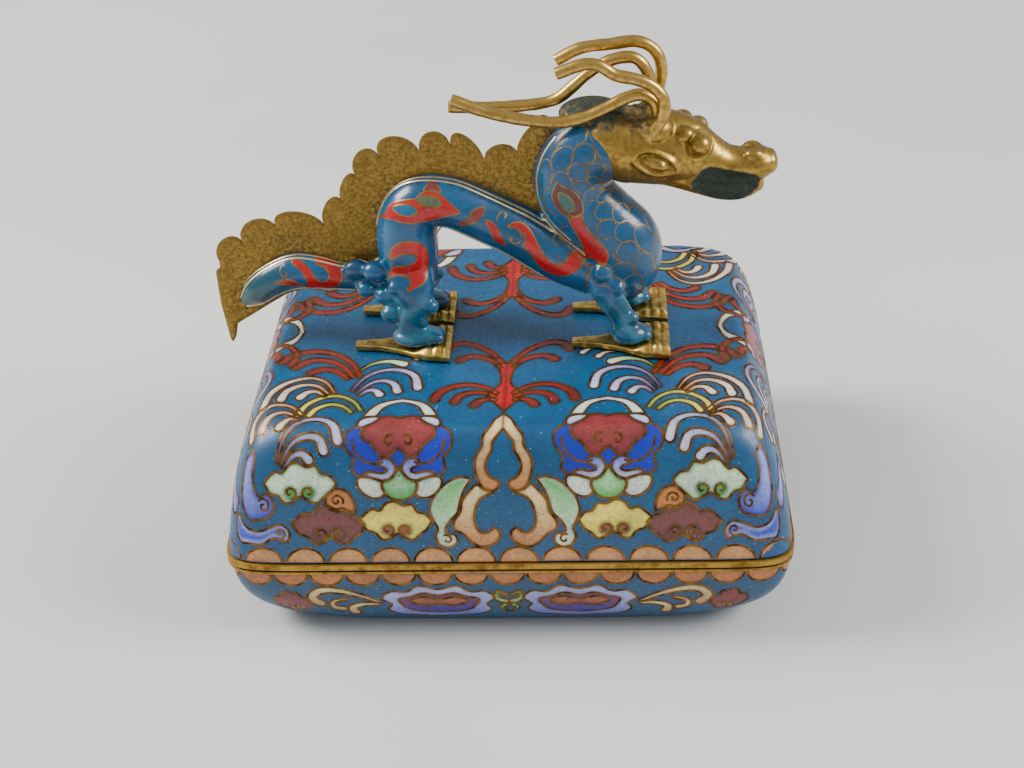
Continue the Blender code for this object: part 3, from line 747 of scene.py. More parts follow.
def lotus(sheet, put):
    """A lotus: blue lobes with pale hooks, pale petals, a maroon cap, a green bulb in a cup."""
    arch = [(18.8, 23.7), (22.4, 24.8), (24.3, 26.7), (25.5, 29.2)]
    opening = [(23.1, 29.2), (21.9, 26.5), (20.3, 25.3), (18.8, 24.9)]
    arch_line = np.concatenate([smooth(arch, closed=False), smooth(opening, closed=False)])
    sheet.cell(put(np.concatenate(both(arch_line))), WHITE, PALE_GREEN)
    cup = [
        (21.8, 42.5), (23.5, 41.9), (25, 41.6), (26.2, 41.9), (26.4, 43.1), (25.6, 44.6), (24, 45.7),
        (22.4, 45.7), (21.5, 44.8), (21.9, 43.6)]
    for outline in both(smooth(cup)):
        sheet.cell(put(outline), PALE_GREEN, WHITE)
    bulb = [(18.8, 40.1), (20.3, 42), (21.8, 42.6), (21.9, 43.9), (21, 45.4), (19.8, 46.1), (18.8, 46.2)]
    sheet.cell(put(whole(bulb)), PALE_GREEN, LEAF_GREEN, LEAF_GREEN, 1.6)
    body = [
        (18.8, 29.9), (20.3, 29.3), (22.1, 29.4), (23.9, 29.3), (25.6, 29.9), (26.3, 31), (26.5, 32.3),
        (27.8, 33.2), (28.5, 34.8), (28.1, 36.5), (26.9, 38), (27, 39.3), (27.1, 40.5), (25.9, 41.5),
        (23.9, 41.8), (21.9, 42.5), (20.3, 42), (19.3, 40.7), (18.8, 39.8)]
    sheet.cell(put(whole(body)), ROYAL, ROYAL, PERIWINKLE * 0.6, 0.6)
    hook = [
        (19.3, 40.5), (19.4, 39.6), (19.9, 38.7), (21.1, 38.2), (22.4, 38.6), (22.2, 39.6), (21.1, 40.1),
        (20.9, 40.7), (22.1, 41), (23.7, 40.7), (25.2, 41.1), (23.9, 41.8), (21.9, 42.4), (20.3, 41.9)]
    petal = [
        (22.4, 29.6), (23.9, 29.4), (25.6, 30), (26.2, 31.1), (26.1, 32.3), (25, 32.3), (23.7, 31.4),
        (22.8, 30.5)]
    for outline in both(smooth(hook)):
        sheet.cell(put(outline), PERIWINKLE, PALE_LILAC)
    for outline in both(smooth(petal)):
        sheet.cell(put(outline), PALE_LILAC, LILAC)
    cap = [
        (18.8, 29.7), (20.3, 29.2), (21.9, 29.4), (22.8, 30.4), (23.7, 31.4), (25, 32.3), (25.5, 33.5),
        (25.1, 34.7), (23.9, 35.4), (23, 36.5), (22.2, 37.6), (21.2, 38.1), (20, 37.6), (19.2, 36.7),
        (18.8, 36.5)]
    sheet.cell(put(whole(cap)), MAROON * 1.4, MAROON, MAROON * 0.8, 1.2)
    line = smooth([(27.1, 34.7), (26.5, 37.0), (25.1, 38.6), (23.0, 39.3), (21.5, 38.9)], closed=False)
    curl = spiral((17.2, 35.2), 1.3, -60.0, 0.85, -1.0)
    for outline in both(line) + both(curl):
        sheet.wire(put(outline))


END_SHIFT = HALF_WIDTH - HALF_DEPTH


def as_drawn(points):
    """Leave a motif of the long side where it is drawn."""
    return np.asarray(points, dtype=float)


def on_the_end(points, middle=LOTUS_ACROSS, lower=0.0):
    """Turn a motif of the long side to the end, its middle on the box's middle line."""
    points = np.asarray(points, dtype=float)
    return np.stack([points[:, 1] + END_SHIFT + lower, points[:, 0] - middle], axis=1)


lotus(lid_sheet, as_drawn)
END_LOWER = 5.0
lotus(lid_sheet, lambda points: on_the_end(points, lower=END_LOWER))
print("cells so far:", len(lid_sheet.cells))

# %% Clouds
CLOUD = [
    (6.9, -0.6, 1), (5.4, -1.9), (4.2, -2.6), (2.9, -2.2), (1.7, -3.6), (0, -4), (-1.6, -3.2), (-3.2, -3.4),
    (-4.2, -1.9), (-5.6, -1.6), (-6.8, -0.2, 1), (-5.8, 1.4), (-4.4, 2.4), (-3.2, 3.5), (-1.6, 3),
    (-0.2, 2.2), (1.2, 3.2), (2.8, 3.4), (4, 2), (5.6, 1.4)]
EYES = (-1.7, 1.6)
EYE_BROWN = screen(150, 92, 54)


def cloud(sheet, centre, width, height, put, fill, eye, edge=None):
    """A lobed cloud with two round eyes at its lower side, each with a spiral wire."""
    scale = np.array([width / 13.7, height / 7.5])
    drawn = np.array([[*p[:2]] for p in CLOUD]) * scale + centre
    rows = [(*p, 1) if len(q) > 2 else tuple(p) for p, q in zip(drawn, CLOUD)]
    sheet.cell(put(smooth(rows)), fill, fill, edge if edge is not None else fill * 0.85, 0.9)
    circle = np.stack([np.cos(angles(12)), np.sin(angles(12))], axis=1)
    for side in EYES:
        middle = np.array(centre) + np.array([side, 1.5]) * scale
        ring = middle + 1.25 * scale.mean() * circle
        sheet.cell(put(ring), eye, eye, wired=False)
        sheet.wire(put(spiral(middle, 1.3 * scale.mean(), 90.0 + 10.0 * np.sign(side), 1.1, np.sign(side))))


cloud(lid_sheet, (19.8, 50.6), 13.2, 7.8, as_drawn, YELLOW, EYE_BROWN)
cloud(lid_sheet, (32.2, 51.3), 13.6, 8.0, as_drawn, PLUM, PLUM * 0.9)
cloud(lid_sheet, (37.2, 43.0), 14.3, 7.8, as_drawn, PALE_GREEN, LEAF_GREEN * 0.8, LEAF_GREEN)
END_CLOUD_ACROSS = 14.0
cloud(lid_sheet, (LOTUS_ACROSS + END_CLOUD_ACROSS, 51.4), 12.6, 7.6, on_the_end, YELLOW, EYE_BROWN)
print("cells so far:", len(lid_sheet.cells))

# %% Corner commas, fans and arches
def ball_and_commas(sheet):
    """An orange ball between clouds, and the periwinkle curls that fill the corner."""
    ball = [
        (27, 48.8, 1), (27.2, 46.4), (28.4, 44.4), (30.6, 43.9), (32.2, 45.4), (32, 47.6), (30, 48.4),
        (28.4, 48.2)]
    sheet.cell(smooth(ball), ORANGE, ORANGE * 0.9, ORANGE * 0.7, 0.8)
    sheet.wire(spiral((30.3, 46.2), 1.3, 150.0, 1.2))
    big = [
        (47, 34.6, 1), (49.6, 36), (51.6, 39.4), (52.6, 43), (51.8, 46.6), (49.4, 49.2), (46.2, 49.6),
        (43.2, 48.8), (42.4, 46.6), (43.8, 44.6), (46, 44.9), (47.2, 42.8), (47.4, 39.6), (46.4, 37)]
    sheet.cell(smooth(big), LILAC, PERIWINKLE, ROYAL * 1.2, 1.6)
    sheet.wire(spiral((44.9, 46.9), 1.7, -40.0, 1.2, -1.0))
    low = [
        (40.2, 54.6, 1), (39.6, 52.6), (41, 50.9), (43.2, 51.2), (46.2, 52), (49.8, 51.2), (52.8, 49),
        (55, 45.6), (57, 46.6), (57.2, 49.8), (55, 52.6), (51, 54), (46.4, 54.8), (43, 53.6)]
    sheet.cell(smooth(low), PERIWINKLE, ROYAL * 1.2, LILAC, 1.3)
    sheet.wire(spiral((41.6, 52.6), 1.2, 100.0, 1.1))
    outer = [
        (54.2, 30.6, 1), (57.4, 33), (59.6, 37.4), (59.4, 42), (57, 43.8), (54.8, 42.2), (55.8, 39.6),
        (55.6, 35.6)]
    sheet.cell(smooth(outer), LILAC, PERIWINKLE, ROYAL * 1.2, 1.3)


def fan(sheet, fronds, top, bottom, root=0.3, end=1.05):
    """Fronds of one fan, each a tapering leaf that pales from its root to its end."""
    for path in fronds:
        sheet.cell(frond(path, root, end), top, bottom, ends=(path[0][:2], path[-1][:2]))


def fans(sheet):
    """The fans and arches of one quarter, from the lower corner to the top."""
    fan(sheet, [[(41.2, 38.4), (39.4, 33.4), (36.4, 30.4), (33.0, 30.0), (30.6, 31.8), (29.6, 35.0)],
                [(40.6, 39.2), (38.0, 35.2), (35.2, 34.0), (33.0, 34.6), (32.2, 36.8)],
                [(40.0, 40.0), (38.0, 37.6), (36.2, 37.2), (35.0, 38.4)]],
        ROYAL, PALE_LILAC, 0.35, 1.0)
    fan(sheet, [[(28.6, 21.0), (26.6, 16.6), (23.6, 14.2), (20.0, 14.1), (17.2, 16.2), (16.3, 20.2)],
                [(27.6, 21.8), (25.2, 18.4), (22.8, 17.6), (20.8, 18.8), (20.0, 21.2)],
                [(27.0, 22.6), (25.6, 20.8), (24.2, 20.8), (23.2, 22.2)]],
        ROYAL, PALE_LILAC, 0.4, 1.0)
    fan(sheet, [[(28.0, 14.4), (25.6, 11.8), (22.4, 11.0), (19.6, 12.0)]], LEAF_GREEN, PALE_GREEN)
    fan(sheet, [[(18.2, 7.4), (16.0, 7.2), (14.2, 8.8)], [(20.6, 8.6), (18.6, 8.8), (17.2, 10.2)]],
        CREAM, WHITE, 0.3, 0.8)
    fan(sheet, [[(27.4, 16.2), (29.4, 11.8), (32.6, 8.6), (36.4, 7.2), (40.6, 8.0), (43.2, 10.6)],
                [(28.6, 16.6), (31.0, 12.8), (34.0, 10.6), (37.6, 10.4), (40.2, 12.6)],
                [(29.6, 17.0), (32.0, 14.4), (34.6, 13.4), (37.0, 14.6)]],
        RED, DUSTY_RED, 0.5, 1.0)
    fan(sheet, [[(31.6, 21.6), (33.8, 17.8), (37.0, 16.4), (40.8, 17.8), (43.6, 21.2), (44.6, 25.2)],
                [(32.6, 22.0), (35.0, 19.2), (38.0, 18.8), (40.6, 20.6), (41.4, 23.4)],
                [(33.2, 22.8), (35.0, 21.0), (36.8, 21.2), (37.9, 22.8)]],
        ORANGE, WHITE, 0.4, 1.0)
    fan(sheet, [[(36.6, 28.6), (39.4, 25.6), (43.0, 25.4), (46.2, 28.2), (47.2, 32.4)],
                [(37.2, 29.4), (40.0, 27.6), (42.8, 28.6), (44.2, 31.4)],
                [(36.8, 30.2), (38.8, 29.6), (40.6, 31.6)]],
        ORANGE, WHITE, 0.4, 1.0)
    fan(sheet, [[(26.0, 27.6), (27.6, 24.6), (30.4, 22.6), (33.6, 23.0), (36.4, 25.4), (37.4, 28.6)],
                [(27.6, 28.2), (29.4, 26.0), (31.8, 25.2), (34.2, 26.4), (35.4, 28.6)]],
        LEAF_GREEN, YELLOW, 0.5, 0.75)


def end_fans(sheet):
    """Fans of the short side, beside its lotus."""
    fan(sheet, [[(51.4, 10.6), (47.6, 11.4), (45.2, 14.0), (45.0, 17.4), (47.0, 20.4), (50.6, 21.6)],
                [(52.4, 11.8), (49.6, 12.8), (48.0, 15.2), (48.8, 18.2), (51.2, 19.4)],
                [(53.2, 13.0), (51.4, 14.0), (50.8, 15.8), (52.0, 17.2)]],
        ROYAL, PALE_LILAC, 0.4, 1.0)
    fan(sheet, [[(46.0, 4.2), (42.6, 5.2), (40.6, 8.2), (41.2, 11.6)],
                [(47.2, 6.2), (44.8, 7.4), (44.0, 9.6)]],
        RED, DUSTY_RED, 0.4, 0.9)
    fan(sheet, [[(52.8, 24.0), (49.8, 23.0), (48.4, 25.4), (49.0, 28.2), (51.6, 29.6)],
                [(56.0, 24.6), (53.2, 25.6), (53.4, 28.0)]],
        ORANGE, WHITE, 0.4, 0.9)
    leaf = [
        (55.4, 21.6, 1), (58.4, 20.8), (61.6, 22.8), (63.4, 26.4), (62.6, 30.2), (60, 32), (57.6, 31),
        (58, 28.8), (60, 28.4), (59.8, 26), (57.6, 24)]
    sheet.cell(smooth(leaf), LEAF_GREEN, PALE_GREEN, WHITE * 0.85, 0.9)


ball_and_commas(lid_sheet)
fans(lid_sheet)
end_fans(lid_sheet)
print("cells of the lid's quarter:", len(lid_sheet.cells))

# %% Beads along the rims
def rim_positions(side, down):
    """Turn values against the real distance round the side at one level."""
    turn = np.linspace(0.0, 4.0, 2001)
    return turn, distances(side.at(np.full_like(turn, down), turn)[0])


def bead_outlines(side, count, width, height, from_rim, offset):
    """Half-round beads round a rim: centres an even step apart, the first at an offset from the middle.

    Each is the arc (width cos a, height sin a), its flat side on the rim.
    """
    turn, along = rim_positions(side, from_rim)
    middle = np.interp(0.5, turn, along)
    angle = np.linspace(0.0, math.pi, 13)
    inward = -1.0 if from_rim > 0.0 else 1.0
    beads = []
    for index in range(count):
        centre = middle + offset + along[-1] * index / count
        where = (centre + width / 2.0 * np.cos(angle)) % along[-1]
        down = from_rim + inward * height * np.sin(angle)
        beads.append((down, np.interp(where, along, turn)))
    return beads


LID_BEADS = bead_outlines(LID_SIDE, 46, 7.0, 3.1, LID_SIDE.length, 2.3)
TRAY_BEADS = bead_outlines(TRAY_SIDE, 54, 6.2, 2.7, 0.0, 0.0)
print("beads:", len(LID_BEADS), "on the lid,", len(TRAY_BEADS), "on the tray")


BEAD_EDGE = 0.8


def paint_beads(side, beads, sheet, colours, fill, edge):
    """Colour the sheet points that lie in a bead."""
    for down, turn in beads:
        outline = side.at(down, turn)[1]
        near = near_box(sheet, outline)
        near = near[inside(sheet[near], outline)]
        if len(near):
            blend = np.clip(distance_to(sheet[near], outline) / BEAD_EDGE, 0.0, 1.0)[:, None]
            colours[near] = edge * (1.0 - blend) + fill * blend
    return colours

# %% [markdown]
# ## The lid's skin
# The flat top is a square grid drawn out to the superellipse, and the sides are rings with as many
# points as the grid has round its edge, so the two join with no seam. The inner wall and the
# cut edge close the shell, which is as thick as the real one.

# %% Rings, grids and shells
GRID_ACROSS, GRID_ALONG = 208, 160
RING = 2 * (GRID_ACROSS + GRID_ALONG)


def ring_turns():
    """Turn values of one ring, matching the edge of the flat top's grid."""
    parts = [side + np.arange(count) / count
             for side, count in enumerate((GRID_ACROSS, GRID_ALONG, GRID_ACROSS, GRID_ALONG))]
    return np.concatenate(parts)


def top_grid():
    """Points of the flat top: the unit square (s, t) drawn out by max(|s|, |t|) k(s, t)."""
    s, t = np.meshgrid(np.linspace(-1.0, 1.0, GRID_ACROSS + 1), np.linspace(-1.0, 1.0, GRID_ALONG + 1))
    big = np.maximum(np.maximum(np.abs(s), np.abs(t)), 1e-9)
    power = LID_TOP_POWER
    k = ((np.abs(s) / big) ** power + (np.abs(t) / big) ** power) ** (-1.0 / power)
    x = (HALF_WIDTH - SHOULDER) * s * k
    y = (HALF_DEPTH - SHOULDER) * t * k
    return np.stack([x.ravel(), y.ravel(), np.full(x.size, LID_TOP)], axis=1)


def top_grid_edge():
    """Vertex numbers round the grid, in the order of ring_turns."""
    wide, deep = GRID_ACROSS, GRID_ALONG
    number = np.arange((wide + 1) * (deep + 1)).reshape(deep + 1, wide + 1)
    return np.concatenate([number[0, :wide], number[:deep, wide], number[deep, wide:0:-1],
                           number[deep:0:-1, 0]])


def rings(levels, turns, profile):
    """Rings of points for (inset, height, power) levels."""
    inset, height, power = (np.asarray(part, dtype=float) for part in profile(levels))
    x, y, _, _ = plan(np.tile(turns, (len(levels), 1)), inset[:, None], power[:, None])
    return np.stack([x, y, np.tile(height[:, None], (1, len(turns)))], axis=2).reshape(-1, 3)


TURNS = ring_turns()
print("points in one ring:", len(TURNS))

# %% The enamelled lid
LID_RINGS = 64


def build_lid():
    """Top grid, outer rings, inner rings and an inner cap as one closed shell."""
    top = top_grid()
    edge = top_grid_edge()
    down = np.linspace(0.0, LID_SIDE.length, LID_RINGS + 1)[1:]
    outer, outer_sheet = LID_SIDE.at(np.repeat(down, RING), np.tile(TURNS, LID_RINGS))
    inner_levels = np.linspace(0.0, 1.0, 9) ** 1.4
    inner = rings(inner_levels, TURNS, lambda share: lid_profile(share, WALL))
    centre = np.array([[0.0, 0.0, LID_TOP - WALL]])
    points = np.concatenate([top, outer, inner, centre])
    first = len(top)
    row = np.arange(GRID_ALONG)[:, None] * (GRID_ACROSS + 1)
    here = (row + np.arange(GRID_ACROSS)).ravel()
    grid = np.stack([here, here + 1, here + GRID_ACROSS + 2, here + GRID_ACROSS + 1], axis=1)
    ring_one = first + np.arange(RING)
    join = np.stack([edge, ring_one, np.roll(ring_one, -1), np.roll(edge, -1)], axis=1)
    sides = grid_faces(LID_RINGS + len(inner_levels), RING, first)[:, ::-1]
    last = first + (LID_RINGS + len(inner_levels) - 1) * RING + np.arange(RING)
    cap = fan_faces(last, len(points) - 1)[:, ::-1]
    sheet = np.concatenate([top[:, :2], outer_sheet])
    colours = lid_sheet.paint(sheet, TURQUOISE)
    colours = paint_beads(LID_SIDE, LID_BEADS, sheet, colours, PEACH, ORANGE)
    colours = np.concatenate([colours, np.tile(DEEP_TURQUOISE, (len(points) - len(colours), 1))])
    make_piece("lid_enamel", points, [grid, join, sides, cap], BOX_ENAMEL, ["lid"], colours)


build_lid()

# %% [markdown]
# ## Wires
# A cell wire is a strip of brass on edge. Only its top shows, ground level with the glass, with a
# hair of relief where the softer enamel has sunk. Each is a strip with a slightly roofed top,
# carried along its path with one side against the surface.

# %% Strips along paths
END_FAN = np.array([[0, 1, 2], [0, 2, 3], [0, 3, 4]])


def strips(paths, width, proud, sunk):
    """Roofed strips along (points, outward directions) paths, as points and faces.

    The section is (-w, -sunk) (-w, p/2) (0, p) (w, p/2) (w, -sunk), set on the side direction
    out x ahead and on the outward direction.
    """
    section = np.array([[-width / 2.0, -sunk], [-width / 2.0, proud * 0.5], [0.0, proud],
                        [width / 2.0, proud * 0.5], [width / 2.0, -sunk]])
    points, quads, triangles, start = [], [], [], 0
    for path, out in paths:
        side = unit(np.cross(out, unit(np.gradient(path, axis=0))))
        ring = path[:, None] + side[:, None] * section[:, :1] + out[:, None] * section[:, 1:]
        points.append(ring.reshape(-1, 3))
        quads.append(grid_faces(len(path), 5, start))
        triangles += [start + END_FAN, start + (len(path) - 1) * 5 + END_FAN[:, [0, 2, 1]]]
        start += len(path) * 5
    return np.concatenate(points), [np.concatenate(quads), np.concatenate(triangles)]


def add_wires(name, paths, section, material):
    """One piece from many strips of a section: its width, and how proud and how sunk it is."""
    points, faces = strips(paths, *section)
    make_piece(name, points, faces, material)


def four_quarters(point, out):
    """The same path in all four quarters."""
    signs = [np.array([across, along, 1.0]) for across in (1.0, -1.0) for along in (1.0, -1.0)]
    return [(point * sign, out * sign) for sign in signs]


def quarter_runs(wire):
    """The runs of a wire that lie in the drawn quarter; the mirrored ones meet them at its edge."""
    wire = even_steps(wire, WIRE_STEP)
    kept = np.flatnonzero(np.all(wire > -WIRE_STEP, axis=1))
    runs = np.split(kept, np.flatnonzero(np.diff(kept) > 1) + 1)
    return [wire[run] for run in runs if len(run) > 2]


def sheet_wires(side, sheet, beads):
    """All wires of a side, laid on its surface."""
    paths = []
    for wire in sheet.wires:
        for run in quarter_runs(wire):
            paths += four_quarters(*side.lay(run))
    return paths + [side.outward(down, turn, 0.05) for down, turn in beads]


CELL_WIRE = (0.46, 0.05, 0.12)
add_wires("lid_wires", sheet_wires(LID_SIDE, lid_sheet, LID_BEADS), CELL_WIRE, WIRE_BRASS)

# %% [markdown]
# ## The tray
# The tray tucks in towards its foot. Under its rim hang smaller beads, and below them lie wide
# lotuses with leaf scrolls between. Its inside and its underside are plain counter enamel, which
# balances the pull of the glass outside.

# %% The tray's pattern
tray_sheet = Sheet()


def wide_lotus(sheet, put):
    """A low lotus: a scalloped pale border, a maroon upper half and a blue lower half."""
    border = [
        (23.8, 47.4), (21.9, 45.4), (19.2, 45.6), (16.6, 44), (13.1, 44.9), (9.6, 44), (7, 45.6),
        (4.3, 45.4), (2.6, 47.4), (4.2, 49.2), (3.4, 51.2), (5.6, 53.4), (9.6, 54.2), (13.1, 54.8),
        (16.6, 54.2), (20.6, 53.4), (22.8, 51.2), (22, 49.2)]
    sheet.cell(put(smooth(border)), LILAC, PERIWINKLE, LILAC, 0.8)
    heart = [
        (20.6, 47.6), (18.2, 46.8), (15.8, 45.9), (13.1, 46.6), (10.4, 45.9), (8, 46.8), (5.6, 47.6),
        (6.2, 49.6), (8, 51.6), (13.1, 52.6), (18.2, 51.6), (20, 49.6)]
    sheet.cell(put(smooth(heart)), MAROON, ROYAL * 0.9, MAROON * 0.8, 0.8)
    crown = [
        (18.6, 48.2), (16.2, 47), (13.1, 47.8), (10, 47), (7.6, 48.2), (10.2, 49.8), (13.1, 49.2),
        (16, 49.8)]
    sheet.cell(put(smooth(crown)), ORANGE * 0.8, MAROON * 1.3, MAROON, 0.6)


WIDE_LOTUS_ACROSS = 13.1
wide_lotus(tray_sheet, as_drawn)
wide_lotus(tray_sheet, lambda points: on_the_end(points, WIDE_LOTUS_ACROSS))
SCROLLS = [
    ([(24.2, 48.6), (27.6, 46.6), (31.4, 45.2), (35.0, 45.0), (37.0, 47.0), (35.6, 48.8)], 0.4, 1.1),
    ([(24.2, 49.2), (27.4, 49.2), (29.6, 50.4), (29.4, 52.4)], 0.4, 1.1),
    ([(30.2, 47.4), (33.0, 48.2), (33.2, 50.2), (31.6, 50.8)], 0.3, 0.9)]
for scroll in SCROLLS:
    tray_sheet.cell(frond(*scroll), CREAM, ORANGE, CREAM, 0.6)
    tray_sheet.cell(on_the_end(frond(*scroll), WIDE_LOTUS_ACROSS), CREAM, ORANGE, CREAM, 0.6)
cloud(tray_sheet, (41.6, 48.6), 8.6, 6.6, as_drawn, MAROON, PEACH * 0.8)
for sprig in (([(0.3, 46.6), (2.0, 45.6), (2.2, 47.6), (0.6, 48.4)], 0.3, 0.7),
              ([(0.2, 52.4), (1.6, 50.6), (0.7, 49.6)], 0.2, 0.6)):
    tray_sheet.cell(frond(*sprig), LEAF_GREEN, CREAM, LEAF_GREEN)
print("cells of the tray's quarter:", len(tray_sheet.cells))

# %% The enamelled tray
TRAY_RINGS = 44


def build_tray():
    """Outer rings, an underside, inner rings and a floor as one closed shell."""
    down = np.linspace(0.0, TRAY_SIDE.length, TRAY_RINGS)
    outer, outer_sheet = TRAY_SIDE.at(np.repeat(down, RING), np.tile(TURNS, TRAY_RINGS))
    foot = rings(np.array([1.0, 1.0]), TURNS,
                 lambda share: (TRAY_TUCK + np.array([0.5, 1.0]) * FOOT_CHAMFER, 0.0 * share,
                                TRAY_FOOT_POWER + 0.0 * share))
    inner_levels = np.linspace(0.0, 1.0, 9) ** 0.8
    inner = rings(inner_levels, TURNS, lambda share: tray_profile(share, WALL, FLOOR))
    inner = inner.reshape(len(inner_levels), RING, 3)[::-1].reshape(-1, 3)
    under, floor = np.array([[0.0, 0.0, 0.0]]), np.array([[0.0, 0.0, FLOOR]])
    points = np.concatenate([inner, outer, foot, under, floor])
    levels = len(inner_levels) + TRAY_RINGS + 2
    sides = grid_faces(levels, RING)
    under_number = len(points) - 2
    cap_under = fan_faces((levels - 1) * RING + np.arange(RING), under_number)
    cap_floor = fan_faces(np.arange(RING), under_number + 1)[:, ::-1]
    painted = tray_sheet.paint(outer_sheet, TURQUOISE * 0.85)
    painted = paint_beads(TRAY_SIDE, TRAY_BEADS, outer_sheet, painted, ORANGE * 0.9, ORANGE * 0.7)
    colours = np.tile(DEEP_TURQUOISE, (len(points), 1))
    colours[len(inner):len(inner) + len(painted)] = painted
    make_piece("tray_enamel", points, [sides, cap_under, cap_floor], BOX_ENAMEL, ["tray"],
               colours)


build_tray()
add_wires("tray_wires", sheet_wires(TRAY_SIDE, tray_sheet, TRAY_BEADS), CELL_WIRE, WIRE_BRASS)

# %% [markdown]
# ## The brass rims
# Each half is finished with a brass strip soldered to its edge, a little proud of the enamel so
# that brass closes on brass. The tray's strip carries a lip that stands up inside the lid. A
# section with eased corners is carried round the plan.

# %% Rims
RIM_EASE = 0.25


def eased(corners, ease):
    """A section with each corner cut by three points of a quadratic curve."""
    corners = np.array(corners, dtype=float)
    ways = [np.roll(corners, shift, axis=0) - corners for shift in (1, -1)]
    reach = np.minimum(ease, np.min([np.linalg.norm(way, axis=1) for way in ways], axis=0) / 2.2)[:, None]
    first, last = (corners + unit(way) * reach for way in ways)
    return np.stack([first, (first + last + 2.0 * corners) / 4.0, last], axis=1).reshape(-1, 2)


def build_rim(name, node, corners):
    """Carry an eased section of (inset, height) round the plan."""
    section = eased(corners, RIM_EASE)
    points = rings(np.arange(len(section)), TURNS,
                   lambda level: (*section[level].T, np.full(len(level), CORNER_POWER)))
    first, last = np.arange(RING), (len(section) - 1) * RING + np.arange(RING)
    close = np.stack([last, np.roll(last, -1), np.roll(first, -1), first], axis=1)
    make_piece(name, points, [grid_faces(len(section), RING), close], RIM_BRASS, [node])


tray_rim_low, tray_rim_high = node_box("tray_rim")
lid_rim_low, lid_rim_high = node_box("lid_rim")
RIM_PROUD = lid_rim_high[0] - HALF_WIDTH
TRAY_RIM_HEIGHT = 0.6
TRAY_RIM_TOP = tray_rim_low[2] + TRAY_RIM_HEIGHT
LIP_OUTER, LIP_INNER = WALL + 0.5, WALL + 1.5
build_rim("lid_rim_band", "lid_rim",
          [(-RIM_PROUD, lid_rim_low[2]), (-RIM_PROUD, lid_rim_high[2]), (WALL, lid_rim_high[2]),
           (WALL, lid_rim_low[2])])
build_rim("tray_rim_band", "tray_rim",
          [(-RIM_PROUD, tray_rim_low[2]), (-RIM_PROUD, TRAY_RIM_TOP), (LIP_OUTER, TRAY_RIM_TOP),
           (LIP_OUTER, tray_rim_high[2]), (LIP_INNER, tray_rim_high[2]), (LIP_INNER, tray_rim_low[2])])

# %% [markdown]
# ## The dragon's skin
# The body is thin copper, raised in halves, soldered, and enamelled in the round. Its limbs are
# ellipses carried along paths. They are fused into one skin by filling them with small cubes and
# skinning those, which leaves the soft hollows that glass makes where two limbs meet.

# %% Limbs, knobs and fusing
FIGURE_BASE = LID_TOP
ACROSS = np.array([0.0, 1.0, 0.0])
TO_FAR_SIDE = np.array([1.0, -1.0, 1.0])


def tube(stations, along=12, around=56, nose=0.55):
    """Closed limb: p(u) + w(u) cos a side + h(u) sin a up, on a Catmull-Rom path.

    side is the box's y direction made square to the path, up is square to both, and each end
    closes with rings that shrink as cos t while they move ahead as sin t.
    """
    rows = catmull(run_on(stations), along)
    path, half = rows[:, :3], np.maximum(rows[:, 3:5], 0.2)
    ahead = unit(np.gradient(path, axis=0))
    side = unit(ACROSS - ahead * ahead[:, 1:2])
    up = np.cross(ahead, side)
    turn = np.linspace(0.0, math.pi / 2.0, 7)[1:-1, None]
    reach = nose * half[[0, -1]].min(axis=1)
    path = np.concatenate([path[0] - ahead[0] * reach[0] * np.sin(turn[::-1]), path,
                           path[-1] + ahead[-1] * reach[1] * np.sin(turn)])
    half = np.concatenate([half[0] * np.cos(turn[::-1]), half, half[-1] * np.cos(turn)])
    side, up = (np.pad(way, ((len(turn), len(turn)), (0, 0)), "edge") for way in (side, up))
    angle = angles(around)
    ring = (path[:, None] + side[:, None] * (half[:, :1] * np.cos(angle))[..., None]
            + up[:, None] * (half[:, 1:] * np.sin(angle))[..., None])
    return capped(ring, path[0], path[-1])


def ball(centre, radii, rows=18, columns=28):
    """Ellipsoid c + (a cos v cos u, b cos v sin u, c sin v), its poles closed by fans."""
    v = np.linspace(-math.pi / 2.0, math.pi / 2.0, rows + 2)[1:-1, None]
    u = angles(columns)
    grid = np.stack([np.cos(v) * np.cos(u), np.cos(v) * np.sin(u), np.sin(v) * np.ones(columns)], axis=2)
    points, faces = capped(grid * radii, (0.0, 0.0, -radii[2]), (0.0, 0.0, radii[2]))
    return points + centre, faces


def mirrored(shape):
    """The same closed shape on the far side, its faces turned over."""
    points, faces = shape
    return points * TO_FAR_SIDE, [group[:, ::-1] for group in faces]


def read(items, field, kind, width=1):
    """One field of all vertices, loops or polygons of a mesh."""
    values = np.empty(len(items) * width, dtype=kind)
    items.foreach_get(field, values)
    return values


def fuse(shapes, cube, rounds):
    """One skin round closed shapes, from a Remesh modifier in voxel mode and a Smooth modifier."""
    points, faces, start = [], [], 0
    for shape_points, shape_faces in shapes:
        if closed_volume(shape_points, shape_faces) < 0.0:
            shape_faces = [group[:, ::-1] for group in shape_faces]
        points.append(shape_points)
        faces += [group + start for group in shape_faces]
        start += len(shape_points)
    mesh = fill_mesh("fusing", np.concatenate(points), faces)
    block = add_object("fusing", mesh)
    remesh = block.modifiers.new("cubes", "REMESH")
    remesh.mode = "VOXEL"
    remesh.voxel_size = cube
    ease = block.modifiers.new("ease", "SMOOTH")
    ease.factor = 0.5
    ease.iterations = rounds
    skin = block.evaluated_get(bpy.context.evaluated_depsgraph_get()).to_mesh()
    result = read(skin.vertices, "co", np.float32, 3).reshape(-1, 3).astype(float)
    corners = read(skin.loops, "vertex_index", np.int32)
    starts, sizes = (read(skin.polygons, field, np.int32) for field in ("loop_start", "loop_total"))
    groups = [corners[starts[sizes == n][:, None] + np.arange(n)] for n in (3, 4) if np.any(sizes == n)]
    bpy.data.objects.remove(block)
    bpy.data.meshes.remove(mesh)
    return result, groups


